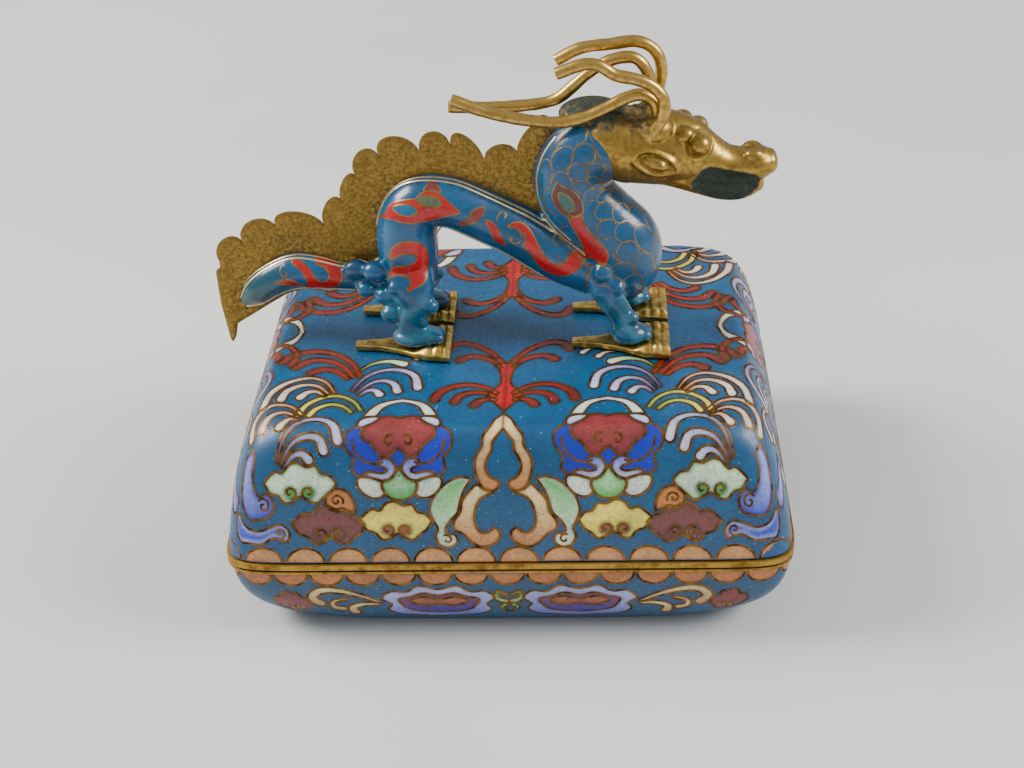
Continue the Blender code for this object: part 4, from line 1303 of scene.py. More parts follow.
def raised(points):
    """Figure points, whose height counts from the lid's top, put in the box's space."""
    return np.asarray(points, dtype=float) + np.array([0.0, 0.0, FIGURE_BASE])


print("limb helpers ready")

# %% Paths of the figure
TORSO = [
    (-18.4, 0, 10.5, 5, 4.4), (-18.5, 0, 18, 6.4, 5.7), (-18, 0, 24.5, 6.2, 5.7),
    (-15.2, 0, 28.2, 5.8, 5.5), (-10, 0, 28.4, 5.4, 5), (-4, 0, 25.6, 5.4, 5), (3, 0, 21.8, 5.6, 5.2),
    (10, 0, 17, 5.8, 5.4), (16.5, 0, 13.6, 5.8, 5.2)]
NECK = [
    (21, 0, 8.6, 3.6, 4.2), (21.9, 0, 13.2, 6.2, 6.9), (21.3, 0, 18.6, 6.8, 7.9), (17.4, 0, 23.6, 6.6, 7.5),
    (13.7, 0, 28.6, 6.2, 7.2), (12.8, 0, 33.4, 6.2, 7), (14.8, 0, 37.4, 6.4, 6.9),
    (18.2, 0, 39.3, 6.6, 6.9)]
TAIL = [
    (-18, 0, 14, 3.4, 3.4), (-25, 0, 12.9, 3.4, 3.2), (-31, 0, 12.9, 3, 2.9), (-36.5, 0, 14, 3.5, 3.6),
    (-40.5, 0, 14.2, 3.7, 3.8), (-44.8, 0, 12.4, 3.5, 3.5), (-48.4, 0, 9.7, 2.9, 3),
    (-50.9, 0, 7.6, 1.4, 1.5)]
REAR_LEG = [
    (-18.6, -2.6, 16, 3.2, 4.6), (-17.9, -4.4, 12.4, 3.2, 4.6), (-17.2, -5.6, 9.2, 2.6, 3.3),
    (-18.4, -6.2, 6.2, 2.2, 2.5), (-18.4, -6.5, 3.4, 2.4, 2.9), (-18, -6.6, 1.9, 2.2, 2.6)]
FRONT_LEG = [
    (19.4, -2.6, 16, 3, 4), (18.6, -4.8, 12.6, 2.8, 3.3), (19.8, -5.8, 9.8, 2.3, 2.7),
    (21.5, -6.3, 6.8, 2.1, 2.4), (22.4, -6.6, 3.8, 2.2, 2.6), (22.6, -6.7, 1.9, 2.2, 2.6)]
KNOBS = [
    ((-28.3, -2.2, 15.2), (2.6, 1.7, 2)), ((-24.6, -3.6, 15.6), (2.5, 2.1, 2)),
    ((-26.6, -3.2, 11.6), (2, 1.9, 1.7)), ((-23, -4.2, 10.6), (2.1, 1.9, 1.9)),
    ((-21.9, -5.7, 7.3), (2.2, 1.9, 1.9)), ((-14.4, -6.4, 9.2), (1.7, 1.5, 1.6)),
    ((-20.6, -5.6, 12.9), (1.8, 1.6, 1.7)), ((-16.4, -6.6, 6), (1.5, 1.4, 1.4)),
    ((18.2, -6, 15.4), (1.9, 1.6, 2.2)), ((17.6, -6.6, 11.8), (1.6, 1.5, 1.7)),
    ((20.9, -6.6, 12.6), (1.4, 1.3, 1.5)), ((23.6, -7.2, 6.4), (1.4, 1.3, 1.4)),
    ((-17.2, -6.8, 3.1), (4.9, 3.2, 2)), ((23.2, -6.9, 3.1), (3.6, 3, 2.2)),
    ((-13.6, -8, 3), (1.7, 1.2, 1.3)), ((-13.4, -5.8, 3), (1.6, 1.2, 1.3)), ((26, -8, 3), (1.5, 1.1, 1.2)),
    ((26.2, -6, 3), (1.4, 1.1, 1.2))]
BODY_CUBE, BODY_EASING = 0.3, 8
print("knobs on each side:", len(KNOBS))

# %% Flames on the body
TAIL_FLAME = [
    (-43.9, 13.3, 1), (-42.4, 14), (-40.9, 14), (-39.6, 13.1), (-38.5, 12.4), (-37.8, 13), (-38, 14.3),
    (-38.8, 15.8), (-40.1, 16.7), (-40.5, 17.4), (-39.7, 17.6), (-38.8, 17.3), (-37.9, 16.7), (-37, 15.8),
    (-36.3, 14.4), (-35.4, 13.3), (-34.4, 13.2), (-33.6, 14.1), (-33.8, 15.2), (-34.6, 16), (-35.7, 16.5),
    (-36.2, 17.1), (-35.9, 17.6), (-34.8, 17.6), (-33.2, 17), (-32, 16), (-31.2, 14.7), (-31.3, 13.4),
    (-32.4, 11.9), (-34.3, 11.2), (-36.3, 11.2), (-37.8, 11.8), (-40.3, 12.6), (-42, 12.8)]
THIGH_FLAME = [
    (-21.4, 19.3), (-21, 20.9), (-20.2, 22.2), (-18.7, 23.1), (-17, 23.1), (-15.4, 22.3), (-14.5, 20.7),
    (-14.2, 18.9), (-14.5, 16.6), (-14.8, 15.1), (-15.7, 14.2), (-17, 13.8), (-18, 13.2, 1), (-18.4, 13.7),
    (-17.8, 14.3), (-17.6, 15.1), (-18.3, 15.8), (-19.6, 16), (-20.8, 15.7), (-21.8, 15.1, 1),
    (-21.7, 16.2), (-20.9, 17.5), (-19.7, 17.9), (-18.2, 18.2), (-16.9, 18.5), (-16.3, 19.3), (-16.6, 20.2),
    (-17.5, 20.6), (-18.9, 20.6), (-20.1, 19.9)]
BACK_FLAME = [
    (-23, 26.4, 1), (-21.8, 27.6), (-21.2, 28.8), (-20.2, 29.8), (-18.8, 30.5), (-17.1, 31), (-15.7, 31.2),
    (-14.9, 31.9), (-13.7, 32.3), (-12.2, 32.2), (-10.7, 31.4), (-9.2, 30), (-7.6, 28.5, 1), (-9, 28.1),
    (-10.9, 27.6), (-12.8, 27.1), (-14.9, 26.9), (-16.7, 26.8), (-18.5, 27), (-20.1, 27.2), (-21.8, 26.9)]
BACK_EYE_ONE = [
    (-20.2, 29.2), (-18.8, 29.9), (-16.9, 30.2), (-15.7, 29.7), (-15.6, 28.9), (-16.9, 28.2), (-18.5, 28.3),
    (-19.8, 28.7)]
BACK_EYE_TWO = [
    (-15.6, 31.3), (-14.4, 31.7), (-12.6, 31.6), (-11.3, 31), (-11, 30.2), (-11.8, 29.7), (-13.2, 29.8),
    (-14.5, 30.2), (-15.4, 30.8)]
BACK_CROWN = [(-14.2, 32.3), (-13.6, 33.1), (-12.8, 33.5), (-11.8, 33), (-10.9, 32), (-12.2, 32.4)]
BACK_LEAF = [
    (-5.6, 28.5), (-4.6, 28.9), (-3.2, 28.9, 1), (-3.4, 28), (-4.2, 27), (-5.4, 26.3), (-7, 25.8),
    (-8.6, 25.8, 1), (-7.2, 26.7), (-6, 27.5)]
SMALL_FLAME = [
    (-3.2, 26.9, 1), (-1.9, 26.3), (-0.8, 24.8), (-0.3, 23.1), (0.6, 21.6, 1), (-0.6, 21.7), (-1.6, 22.6),
    (-2.3, 24.2), (-2.7, 25.6)]
S_FLAME = [
    (0.8, 25.3, 1), (1.8, 25.8), (3, 25.7), (4.2, 25), (5.2, 23.8), (6, 22.3), (6.8, 20.6), (7.9, 18.9),
    (9.2, 17.8), (10.7, 17.6), (11.7, 18.2), (12.2, 19.2), (13.4, 19.6), (14.8, 18.8), (14.6, 17.4),
    (13.5, 16.2), (11.8, 15.2), (10.1, 14.9), (8.2, 15.4), (6.6, 16.9), (5.5, 18.9), (4.5, 20.5),
    (3.6, 21.4), (4.1, 22.3), (3.9, 23.5), (3, 24.4), (1.9, 25)]
NECK_FLAME = [
    (12.2, 28.2), (13.2, 27.6), (14.4, 28.2), (14.8, 26.6), (15.7, 24.9), (16.9, 23.3), (18.1, 21.9),
    (19.1, 20.6), (19.2, 19.1), (18.6, 17.4, 1), (17.4, 18.1), (16.2, 18.6), (15.2, 18.4), (14.4, 17.2, 1),
    (14, 18.6), (14.8, 20.2), (14.2, 22.6), (13.2, 24.6), (12.3, 26.5)]
NECK_LOOP = [
    (10.2, 34.5, 1), (11.4, 33.6), (12.8, 33), (14, 31.7), (14.7, 30), (14.7, 28.4), (13.5, 27.5),
    (12.1, 27.5), (11, 28.1), (10.2, 28.9), (9.5, 30.2), (9.2, 31.5), (9.6, 33.1)]
NECK_EYE = [
    (10.4, 32.3), (11.4, 32.3), (12.5, 31.4), (13.2, 30.2), (13.2, 29.1), (12.3, 28.6), (11.3, 29.2),
    (10.6, 30.4)]
FLAME_CELLS = [(BACK_CROWN, MAROON), (BACK_FLAME, RED), (BACK_EYE_ONE, screen(30, 110, 150)),
               (BACK_EYE_TWO, screen(96, 104, 72)), (BACK_LEAF, MAROON * 1.2), (SMALL_FLAME, RED),
               (TAIL_FLAME, RED), (THIGH_FLAME, RED), (S_FLAME, RED), (NECK_FLAME, RED),
               (NECK_LOOP, DUSTY_RED * 0.7), (NECK_EYE, screen(40, 110, 96))]
print("flame cells:", len(FLAME_CELLS))

# %% The enamelled body
TORSO_SEAM = [
    (-23.7, -1, 24), (-23.9, -1.2, 28.6), (-22.6, -1.6, 32.2), (-19.2, -1.8, 33.6), (-15.1, -2, 33.5),
    (-9, -2, 32.6), (-5.4, -2.1, 31), (-1.9, -2.2, 29.2), (1.7, -2.4, 27.2), (4.7, -2.6, 25.6),
    (7.5, -3, 24.2), (9.6, -3.5, 23), (11.8, -4.2, 21.4), (13.9, -5, 19.9), (15, -5.4, 19)]
BODY_BLUE = screen(0, 94, 138)
DARK_TEAL = screen(0, 66, 86)
BODY_TEAL = screen(0, 96, 126)
TAIL_GREEN = screen(16, 84, 92)
LEG_TOP, LEG_FADE, LEGS_FROM = 13.0, 3.0, -31.0
TAIL_END_FROM, TAIL_END_FADE = -40.0, 8.0
SEAM_SHADE_FROM, SEAM_SHADE = 0.4, 0.9


def ripple(points, waves, seed):
    """Soft patches from -1 to 1: a mean of sines of five mixed directions."""
    random = np.random.default_rng(seed)
    ways = unit(random.normal(size=(5, 3)))
    return np.sin(points @ ways.T * waves + random.uniform(0.0, 6.0, 5)).mean(axis=1) * 1.6


def smooth_space(line):
    """A Catmull-Rom curve through points in space."""
    return catmull(run_on(line), 6)


def build_body():
    """Fuse the limbs, then colour each point by the flames seen from the side and by its height."""
    shapes = [tube(TORSO), tube(NECK), tube(TAIL)]
    for near in [tube(REAR_LEG), tube(FRONT_LEG)] + [ball(*knob) for knob in KNOBS]:
        shapes += [near, mirrored(near)]
    points, faces = fuse(shapes, BODY_CUBE, BODY_EASING)
    ground = np.tile(BODY_BLUE, (len(points), 1))
    patch = np.clip(ripple(points, 0.55, 3) * 0.5 + 0.5, 0.0, 1.0)[:, None]
    ground = ground * patch + (0.45 * ground + 0.55 * DARK_TEAL) * (1.0 - patch)
    low = np.clip((LEG_TOP - points[:, 2]) / LEG_FADE, 0.0, 1.0)[:, None] * (points[:, :1] > LEGS_FROM)
    spots = np.clip(ripple(points, 1.5, 8) * 1.3, 0.0, 1.0)[:, None]
    legs = BODY_TEAL * (0.6 + 0.5 * patch) * (1.0 - 0.4 * spots) + screen(84, 158, 184) * 0.4 * spots
    ground = ground * (1.0 - low) + legs * low
    tail = np.clip((TAIL_END_FROM - points[:, 0]) / TAIL_END_FADE, 0.0, 1.0)[:, None]
    ground = ground * (1.0 - tail) + TAIL_GREEN * tail
    side_view = points[:, [0, 2]]
    for outline, colour in FLAME_CELLS:
        curve = smooth(outline)
        near = near_box(side_view, curve)
        ground[near[inside(side_view[near], curve)]] = colour
    folded = points * np.array([1.0, 0.0, 1.0]) - np.abs(points) * np.array([0.0, 1.0, 0.0])
    seam = smooth_space(TORSO_SEAM)[::3]
    away = np.min([np.linalg.norm(folded - at, axis=1) for at in seam], axis=0)
    ground *= (0.35 + 0.65 * np.clip((away - SEAM_SHADE_FROM) / SEAM_SHADE, 0.0, 1.0))[:, None]
    placed = raised(points)
    make_piece("dragon_enamel", placed, faces, BODY_ENAMEL, ["dragon_body"], ground)
    return placed, faces


BODY_ENAMEL = enamel_material("body_enamel", drift=0.8, specks=0.12, roughness=0.24, bump=0.7, coat=0.35)
body_points, body_faces = build_body()

# %% Wires on the body
BODY_TREE = BVHTree.FromPolygons(body_points.tolist(), [f for group in body_faces for f in group.tolist()])
CAST_FROM = 30.0
LONGEST_STEP = 2.2


def cast_side(curve, side):
    """Surface points and directions met by rays that go straight across from one side."""
    start = [Vector((x, side * CAST_FROM, z + FIGURE_BASE)) for x, z in curve]
    hits = [BODY_TREE.ray_cast(at, Vector((0.0, -side, 0.0))) for at in start]
    return keep_runs(hits)


def cast_near(curve):
    """Surface points and directions nearest to points in space."""
    return keep_runs([BODY_TREE.find_nearest(Vector(p)) for p in raised(curve)])


def keep_runs(hits):
    """Unbroken runs of hits whose neighbours are close, as (points, directions) pairs."""
    runs, run = [], []
    for place, normal, _, _ in hits:
        if place is None or (run and (place - run[-1][0]).length > LONGEST_STEP):
            runs.append(run)
            run = []
        if place is not None:
            run.append((place, normal))
    runs.append(run)
    return [(np.array([p for p, _ in r]), ease_rows(np.array([n for _, n in r]))) for r in runs if len(r) > 3]


def ease_rows(rows):
    """Each row mixed with its neighbours, then made one long."""
    padded = np.pad(rows, ((1, 1), (0, 0)), "edge")
    return unit(padded[:-2] + padded[1:-1] + padded[2:])


TAIL_SEAM = [
    (-51.2, -0.6, 8.6), (-49.6, -1.2, 11.6), (-46.8, -1.7, 14.8), (-44.5, -1.9, 16.3), (-42.5, -1.9, 17.4),
    (-40, -1.9, 17.9), (-37.5, -1.8, 17.5), (-35.5, -1.7, 16.9), (-33.5, -1.6, 16.3), (-30.5, -1.5, 15.6),
    (-27.3, -1.5, 15.9), (-24, -1.5, 16.2)]
TORSO_LOW = [
    (-12.6, -2, 17), (-12.4, -2.2, 20.4), (-11.4, -2.6, 23), (-9.6, -2.8, 23.6), (-7.2, -2.9, 22.6),
    (-4.4, -3, 20.8), (-0.7, -3.2, 18.6), (3, -3.4, 16.4), (7, -3.4, 13.8)]
TAIL_LOW = [
    (-50.8, -1.2, 6.4), (-48.2, -1.8, 7.4), (-45.2, -2.2, 9.4), (-41.6, -2.4, 11), (-37.4, -2.6, 10.8),
    (-33, -2.4, 10.4), (-29, -2.6, 10.2)]
NECK_BACK = [
    (9.6, -2.6, 42.4), (7.4, -2.6, 38.6), (6.4, -2.6, 34.6), (6.6, -2.6, 30.6), (7.8, -3, 27.2),
    (10.2, -3.8, 24.6), (12.6, -4.6, 22.2)]
SEAM_GAP = np.array([0.25, 0.75, 0.75])
SEAM_STEP, FLAME_STEP = 0.5, 0.4


def seam_paths():
    """Double wires along the back, and single ones along the belly, tail and nape."""
    paths = []
    for line, double in ((TORSO_SEAM, True), (TAIL_SEAM, True), (TORSO_LOW, False), (TAIL_LOW, False),
                         (NECK_BACK, False)):
        curve = even_steps(smooth_space(line), SEAM_STEP)
        for path in (curve, curve + SEAM_GAP) if double else (curve,):
            paths += cast_near(path) + cast_near(path * TO_FAR_SIDE)
    return paths


def flame_paths():
    """Wires round the flames, and small rings and curls between them, on both sides."""
    curves = [np.concatenate([smooth(outline), smooth(outline)[:1]]) for outline, _ in FLAME_CELLS]
    curves += [spiral((10.2, 21.7), 1.5, 30.0, 1.0), spiral((1.9, 23.0), 1.7, 60.0, 0.8, -1.0),
               spiral((0.1, 26.9), 1.2, 200.0, 0.7, -1.0), spiral((-41.9, 15.4), 1.2, 90.0, 0.9),
               spiral((10.6, 19.1), 1.2, 0.0, 0.8, -1.0)]
    paths = []
    for curve in curves:
        path = even_steps(curve, FLAME_STEP)
        paths += cast_side(path, -1.0) + cast_side(path, 1.0)
    return paths


SCALE_RADIUS, SCALE_ROWS, SCALES_ROUND = 1.85, 13, 11
FIRST_ROW, ROW_PITCH, NECK_REACH = 5.0, 2.9, 6.8
LOWEST_SCALE, SCALE_CLEAR, FEWEST_POINTS = 11.0, 0.5, 14


def scale_paths():
    """Open rings in staggered rows round the neck, left out where the flame runs."""
    rows = smooth_space(NECK)
    table = np.concatenate([rows, unit(np.gradient(rows[:, :3], axis=0))], axis=1)
    gaps = distances(rows[:, :3])
    kept_clear = [smooth(NECK_FLAME), smooth(NECK_LOOP)]
    turn = np.radians(np.linspace(-170.0, 110.0, 26))
    paths = []
    for row in range(SCALE_ROWS):
        for number in range(SCALES_ROUND):
            along = FIRST_ROW + row * ROW_PITCH + SCALE_RADIUS * np.cos(turn)
            middle = math.pi * 2.0 * (number + 0.5 * (row % 2)) / SCALES_ROUND
            angle = middle + SCALE_RADIUS * np.sin(turn) / NECK_REACH
            here = columns_at(along, gaps, table)
            side = ACROSS - here[:, 5:] * here[:, 6:7]
            up = np.cross(here[:, 5:], side)
            ring = (here[:, :3] + side * (here[:, 3] * np.cos(angle))[:, None]
                    + up * (here[:, 4] * np.sin(angle))[:, None])
            view = ring[:, [0, 2]]
            clear = ring[:, 2] > LOWEST_SCALE
            for outline in kept_clear:
                clear &= (distance_to(view, outline) > SCALE_CLEAR) & ~inside(view, outline)
            if clear.sum() > FEWEST_POINTS:
                paths += cast_near(ring[clear])
    return paths


SEAM_WIRE, FLAME_WIRE, SCALE_WIRE = (0.48, 0.2, 0.2), (0.27, 0.05, 0.12), (0.19, 0.04, 0.12)
SEAM_BRASS = brass_material("seam_wire", screen(244, 228, 180), screen(160, 124, 74), 0.3, 420.0, 0.3)
FINE_BRASS = brass_material("flame_wire", screen(164, 128, 74), screen(84, 58, 36), 0.55, 420.0, 0.36)
add_wires("dragon_seams", seam_paths(), SEAM_WIRE, SEAM_BRASS)
add_wires("dragon_wires", flame_paths(), FLAME_WIRE, FINE_BRASS)
add_wires("scale_wires", scale_paths(), SCALE_WIRE, FINE_BRASS)
# %% [markdown]
# ## The crest
# The crest is a comb cut from brass sheet with shears and set on edge along the back. Its lobes
# are half ellipses. The outline is filled with evenly spread points and joined by triangles, so
# that the sheet can thin towards its cut edge, as filed metal does.

# %% Crest
CREST_VALLEYS = [
    (9.4, 43.8), (6.6, 43), (3.2, 37.4), (-2.9, 35.4), (-9.1, 39), (-14.9, 38.5), (-22.3, 37.6),
    (-26.9, 33.6), (-30, 28.2), (-33.9, 23.6), (-42.9, 23.2), (-49.7, 20), (-54.9, 16.4)]
CREST_TOPS = [
    (7.4, 45), (3.9, 40.9), (-0.9, 39.3), (-6.6, 41.5), (-12.4, 42.3), (-20.1, 41.5), (-26.2, 38.5),
    (-29.6, 32.8), (-32.9, 28.6), (-40.2, 26.6), (-47.9, 24.8), (-53.6, 21)]
CREST_TIP = [
    (-54.9, 15), (-55.9, 14.2), (-55.9, 7), (-55.1, -1), (-54.7, -1.9), (-53.9, -0.6), (-53.2, 2.4),
    (-50, 4.4), (-45.6, 7.2), (-42.2, 9.2), (-39.6, 9.8)]
CREST_ROOT = [
    (-40.2, 11.8), (-43.6, 10.9), (-47.2, 8.6), (-49.8, 7.9), (-50.1, 9), (-49.1, 11.2), (-45.9, 14.2),
    (-40.4, 16.7), (-36.5, 16.2), (-31, 14.5), (-25, 14.8), (-22.9, 18), (-22.2, 25.6), (-20.2, 29.6),
    (-17, 31.6), (-10, 32.1), (-4, 29.9), (3, 26.2), (7.6, 24.4), (8.1, 28.5), (7.3, 33.4), (8.2, 37.6),
    (10.8, 41.2)]
CREST_THICKNESS, CREST_SPACING, CREST_EDGE_STEP = 0.9, 0.62, 0.45
FILED_EDGE = 0.7
GRIME_REACH, STAIN_REACH = 4.0, 6.0


def lobed_edge():
    """Half an ellipse over each pair of valleys, its top at the given point.

    A lobe is m + e cos a + r sin a, with m the middle of the two valleys, e half the way between
    them, and r the way from m to the top.
    """
    valleys, tops = np.array(CREST_VALLEYS), np.array(CREST_TOPS)
    angle = np.linspace(0.0, math.pi, 15)[:-1]
    parts = []
    for start, top, end in zip(valleys, tops, valleys[1:]):
        middle, half = (start + end) / 2.0, (start - end) / 2.0
        rise = top - middle
        parts.append(middle + np.cos(angle)[:, None] * half + (np.sin(angle) ** 0.85)[:, None] * rise)
    return np.concatenate(parts + [valleys[-1:]])


def build_crest():
    """Two skins of one triangle net, as far apart as the sheet is thick, and a strip round them."""
    outline = np.concatenate([lobed_edge(), np.array(CREST_TIP), np.array(CREST_ROOT)])
    outline = even_steps(np.concatenate([outline, outline[:1]]), CREST_EDGE_STEP)[:-1]
    low, high = outline.min(axis=0), outline.max(axis=0)
    x, z = np.meshgrid(np.arange(low[0], high[0], CREST_SPACING),
                       np.arange(low[1], high[1], CREST_SPACING * 0.87))
    x[1::2] += CREST_SPACING / 2.0
    net = np.stack([x.ravel(), z.ravel()], axis=1)
    net = net[inside(net, outline)]
    net = net[distance_to(net, outline) > 0.3]
    flat = np.concatenate([outline, net])
    count = len(outline)
    edges = [(i, (i + 1) % count) for i in range(count)]
    result = delaunay_2d_cdt([Vector(p) for p in flat], edges, [], 1, 1e-6)
    flat = np.array([tuple(p) for p in result[0]])
    triangles = np.array(result[2])
    distance = distance_to(flat, outline)
    half = CREST_THICKNESS / 2.0 * (0.45 + 0.55 * np.clip(distance / FILED_EDGE, 0.0, 1.0) ** 0.5)
    wave = 0.05 * ripple(np.column_stack([flat, flat[:, 0] * 0.3]), 0.9, 5)
    wave *= half > 0.3
    points = raised(np.concatenate([np.column_stack([flat[:, 0], wave + side * half, flat[:, 1]])
                                    for side in (-1.0, 1.0)]))
    total = len(flat)
    pairs = np.concatenate([triangles[:, [0, 1]], triangles[:, [1, 2]], triangles[:, [2, 0]]])
    keys = np.sort(pairs, axis=1)
    _, first, counts = np.unique(keys, axis=0, return_index=True, return_counts=True)
    border = pairs[first[counts == 1]]
    strip = np.stack([border[:, 0], border[:, 0] + total, border[:, 1] + total, border[:, 1]], axis=1)
    faces = [triangles, triangles[:, ::-1] + total, strip[:, ::-1]]
    root = np.array(CREST_ROOT)
    from_root = distance_to(flat, np.concatenate([root, root[::-1]]))
    grime_and_shade = np.clip(1.0 - from_root / GRIME_REACH, 0.0, 1.0) ** 1.5
    stains = ripple(np.column_stack([flat, flat[:, 0]]), 0.5, 9) * (from_root < STAIN_REACH)
    grime_and_shade = np.clip(grime_and_shade + 0.25 * stains, 0.0, 1.0)
    make_piece("crest_sheet", points, faces, SHEET_BRASS, ["crest"],
               grime_and_shade=np.tile(grime_and_shade, 2) * 0.5, sharp=35.0)


SHEET_BRASS = brass_material("crest_brass", screen(158, 128, 68), screen(134, 107, 55), 0.5, 1600.0, 0.38,
                             0.25, grime_and_shade=True)
build_crest()

# %% [markdown]
# ## The cast head
# The head is cast brass, soldered over the end of the neck. Its snout and jaw are lofts like the
# limbs, with knobs for eyes, brows, cheeks and nose, fused into one skin. Round the solder it has
# gone green and black; the mouth is painted green-black too, partly patina and partly painted
# shade, and the socket is darker.

# %% Head
HEAD = [
    (17.6, 0, 43.4, 5.6, 3.7), (20.4, 0, 41.4, 6.5, 5.6), (22.8, 0, 39.4, 6.8, 7.2),
    (24.5, 0, 39, 6.6, 7.2), (30.2, 0, 38.2, 6.1, 7), (33.8, 0, 37.4, 5.5, 6.2), (37.4, 0, 36.2, 4.4, 4.6),
    (41, 0, 35.3, 3.7, 3), (44.4, 0, 34.9, 3.6, 2.7), (47.2, 0, 35, 3.4, 3), (49, 0, 35.2, 2.5, 2.2)]
JAW = [
    (25, 0, 36, 4.6, 3.6), (31, 0, 34.2, 4.6, 3.2), (36, 0, 32.1, 3.8, 2.9), (40.5, 0, 30.8, 3.5, 3),
    (43.8, 0, 30.9, 3.2, 3), (46.6, 0, 31.6, 2.2, 2.3)]
LIPS = [(33, 0, 34.6, 4.5, 3), (37, 0, 33.8, 4, 2.6), (41, 0, 33, 3.6, 2.2), (45.6, 0, 33, 3.3, 2)]
HEAD_KNOBS = [
    ((35.8, -4, 40.5), (2, 2, 1.9)), ((33, -3.7, 42.3), (1.9, 1.7, 1.5)),
    ((45.6, -1.7, 37), (1.9, 1.3, 1.3)), ((27.9, -5.2, 37.8), (4.6, 1.7, 2.6)),
    ((27.6, -3.3, 43.2), (3.6, 2.9, 2.8))]
SOLDER = ((16.6, 0.0, 45.4), (6.0, 4.4, 2.6))
EYE = (35.8, 40.5)
CHEEK, CHEEK_REACH, CHEEK_TILT = (27.8, 38.0), (4.2, 2.1), math.radians(-24.0)
CHEEK_BEAD = (28.9, 37.5)
SOCKET = (24.6, 46.4)
HEAD_CUBE, HEAD_EASING = 0.25, 3
EYE_RING, MOUTH_DEPTH = 2.3, 0.5
MOUTH = [
    (34.3, 32.4), (35.4, 34.6), (37.3, 36.2), (40.6, 35.4), (45.8, 34), (46.8, 32.4), (46.2, 30.4),
    (42.6, 28.2), (38.4, 29.2), (35.4, 30.6)]


def build_head():
    """Fuse snout, jaw, knobs and solder; darken the solder with patina, the mouth with patina and painted
    shade, and the socket.
    """
    shapes = [tube(HEAD), tube(JAW), tube(LIPS), ball(*SOLDER)]
    for knob in HEAD_KNOBS:
        shapes += [ball(*knob), mirrored(ball(*knob))]
    points, faces = fuse(shapes, HEAD_CUBE, HEAD_EASING)
    view = points[:, [0, 2]]
    depth = distance_to(view, smooth(MOUTH)) * np.where(inside(view, smooth(MOUTH)), 1.0, -1.0)
    from_eye = np.linalg.norm(view - EYE, axis=1)
    turned = (view - CHEEK) @ np.array([[math.cos(CHEEK_TILT), -math.sin(CHEEK_TILT)],
                                        [math.sin(CHEEK_TILT), math.cos(CHEEK_TILT)]])
    oval = np.hypot(turned[:, 0] / CHEEK_REACH[0], turned[:, 1] / CHEEK_REACH[1])
    bead = np.linalg.norm(view - CHEEK_BEAD, axis=1)
    relief = (-MOUTH_DEPTH * np.clip(depth, 0.0, 1.0) - 0.4 * np.exp(-((from_eye - EYE_RING) / 0.4) ** 2)
              + 0.45 * np.exp(-((oval - 1.0) / 0.15) ** 2) - 0.35 * np.exp(-((oval - 0.62) / 0.16) ** 2)
              + 0.5 * np.exp(-(bead / 0.8) ** 2))
    points[:, 1] += np.sign(points[:, 1]) * relief * np.clip(np.abs(points[:, 1]) / 2.5, 0.0, 1.0) ** 2
    # The mouth is painted green-black: partly patina, partly painted shade on the jaw's side under the snout.
    mouth = np.clip((depth + 0.3) / 0.7, 0.0, 1.0) * (np.abs(points[:, 1]) > 1.6)
    from_solder = np.linalg.norm((points - SOLDER[0]) / (8.0, 6.0, 4.0), axis=1)
    solder = np.clip(1.2 - from_solder, 0.0, 1.0) * 2.0
    # Darker round the socket at the back of the head.
    socket = np.clip(1.4 - np.linalg.norm(view - SOCKET, axis=1) / 2.6, 0.0, 0.7)
    grime_and_shade = np.clip(np.maximum(np.maximum(mouth * 1.4, solder), socket), 0.0, 1.4)
    make_piece("head_cast", raised(points), faces, CAST_BRASS, ["dragon_head"], grime_and_shade=grime_and_shade)


CAST_BRASS = brass_material("head_brass", screen(178, 144, 74), screen(128, 100, 48), 0.38, 900.0, 0.26, 0.2,
                            grime_and_shade=True)
build_head()

# %% Horns
HORN_RADIUS, HORN_STEP, HORN_END = 1.1, 0.5, 0.12
HORNS = {
    "horn_near_long": [(-8.2, -2.8, 49.6), (-1.6, -2.9, 47.0), (5.1, -3.2, 45.6), (10.8, -3.6, 45.2),
                       (15.0, -3.6, 46.0), (19.0, -3.4, 47.6), (22.4, -3.0, 49.2), (25.2, -2.8, 49.8),
                       (27.6, -2.8, 48.4), (28.2, -2.8, 45.8), (27.6, -2.6, 42.6)],
    "horn_near_upper": [(10.6, -5.4, 55.2), (14.9, -5.4, 56.7), (17.8, -5.4, 56.6), (20.8, -5.4, 54.7),
                        (24.4, -5.4, 53.8), (27.3, -5.4, 52.4), (29.2, -5.4, 49.8), (29.0, -5.4, 46.4),
                        (26.6, -5.0, 42.4)],
    "horn_far_long": [(-9.2, 2.6, 45.9), (-1.6, 2.6, 45.6), (6.2, 2.6, 46.0), (10.4, 2.6, 47.0),
                      (13.4, 2.6, 49.4), (16.4, 2.6, 52.0), (20.4, 2.6, 54.2), (24.4, 2.6, 54.4),
                      (26.8, 2.6, 51.2), (27.4, 2.6, 46.4), (27.2, 2.6, 42.6)],
    "horn_far_upper": [(10.4, 5.2, 53.3), (14.9, 5.2, 55.5), (20.2, 5.2, 56.1), (24.8, 5.2, 56.5),
                       (27.9, 5.2, 54.8), (29.2, 5.2, 51.4), (28.6, 5.2, 46.6), (26.8, 4.9, 42.4)],
}


def wire_rod(line, radius):
    """A round rod p + r (cos a u + sin a v), with flat cut ends that are eased by one ring."""
    path = even_steps(smooth_space(line), HORN_STEP)
    ahead = unit(np.gradient(path, axis=0))
    side = unit(np.cross(ahead, ACROSS))
    up = np.cross(ahead, side)
    step = np.arange(len(path))
    size = radius * (1.0 + 0.03 * np.sin(step * 0.31) + 0.02 * np.sin(step * 0.83))
    path = np.concatenate([path[:1] - ahead[0] * HORN_END, path, path[-1:] + ahead[-1] * HORN_END])
    size = np.concatenate([[radius * 0.82], size, [radius * 0.82]])
    side, up = (np.pad(way, ((1, 1), (0, 0)), "edge") for way in (side, up))
    angle = angles(28)[:, None]
    ring = path[:, None] + size[:, None, None] * (side[:, None] * np.cos(angle) + up[:, None] * np.sin(angle))
    return capped(ring, path[0], path[-1])


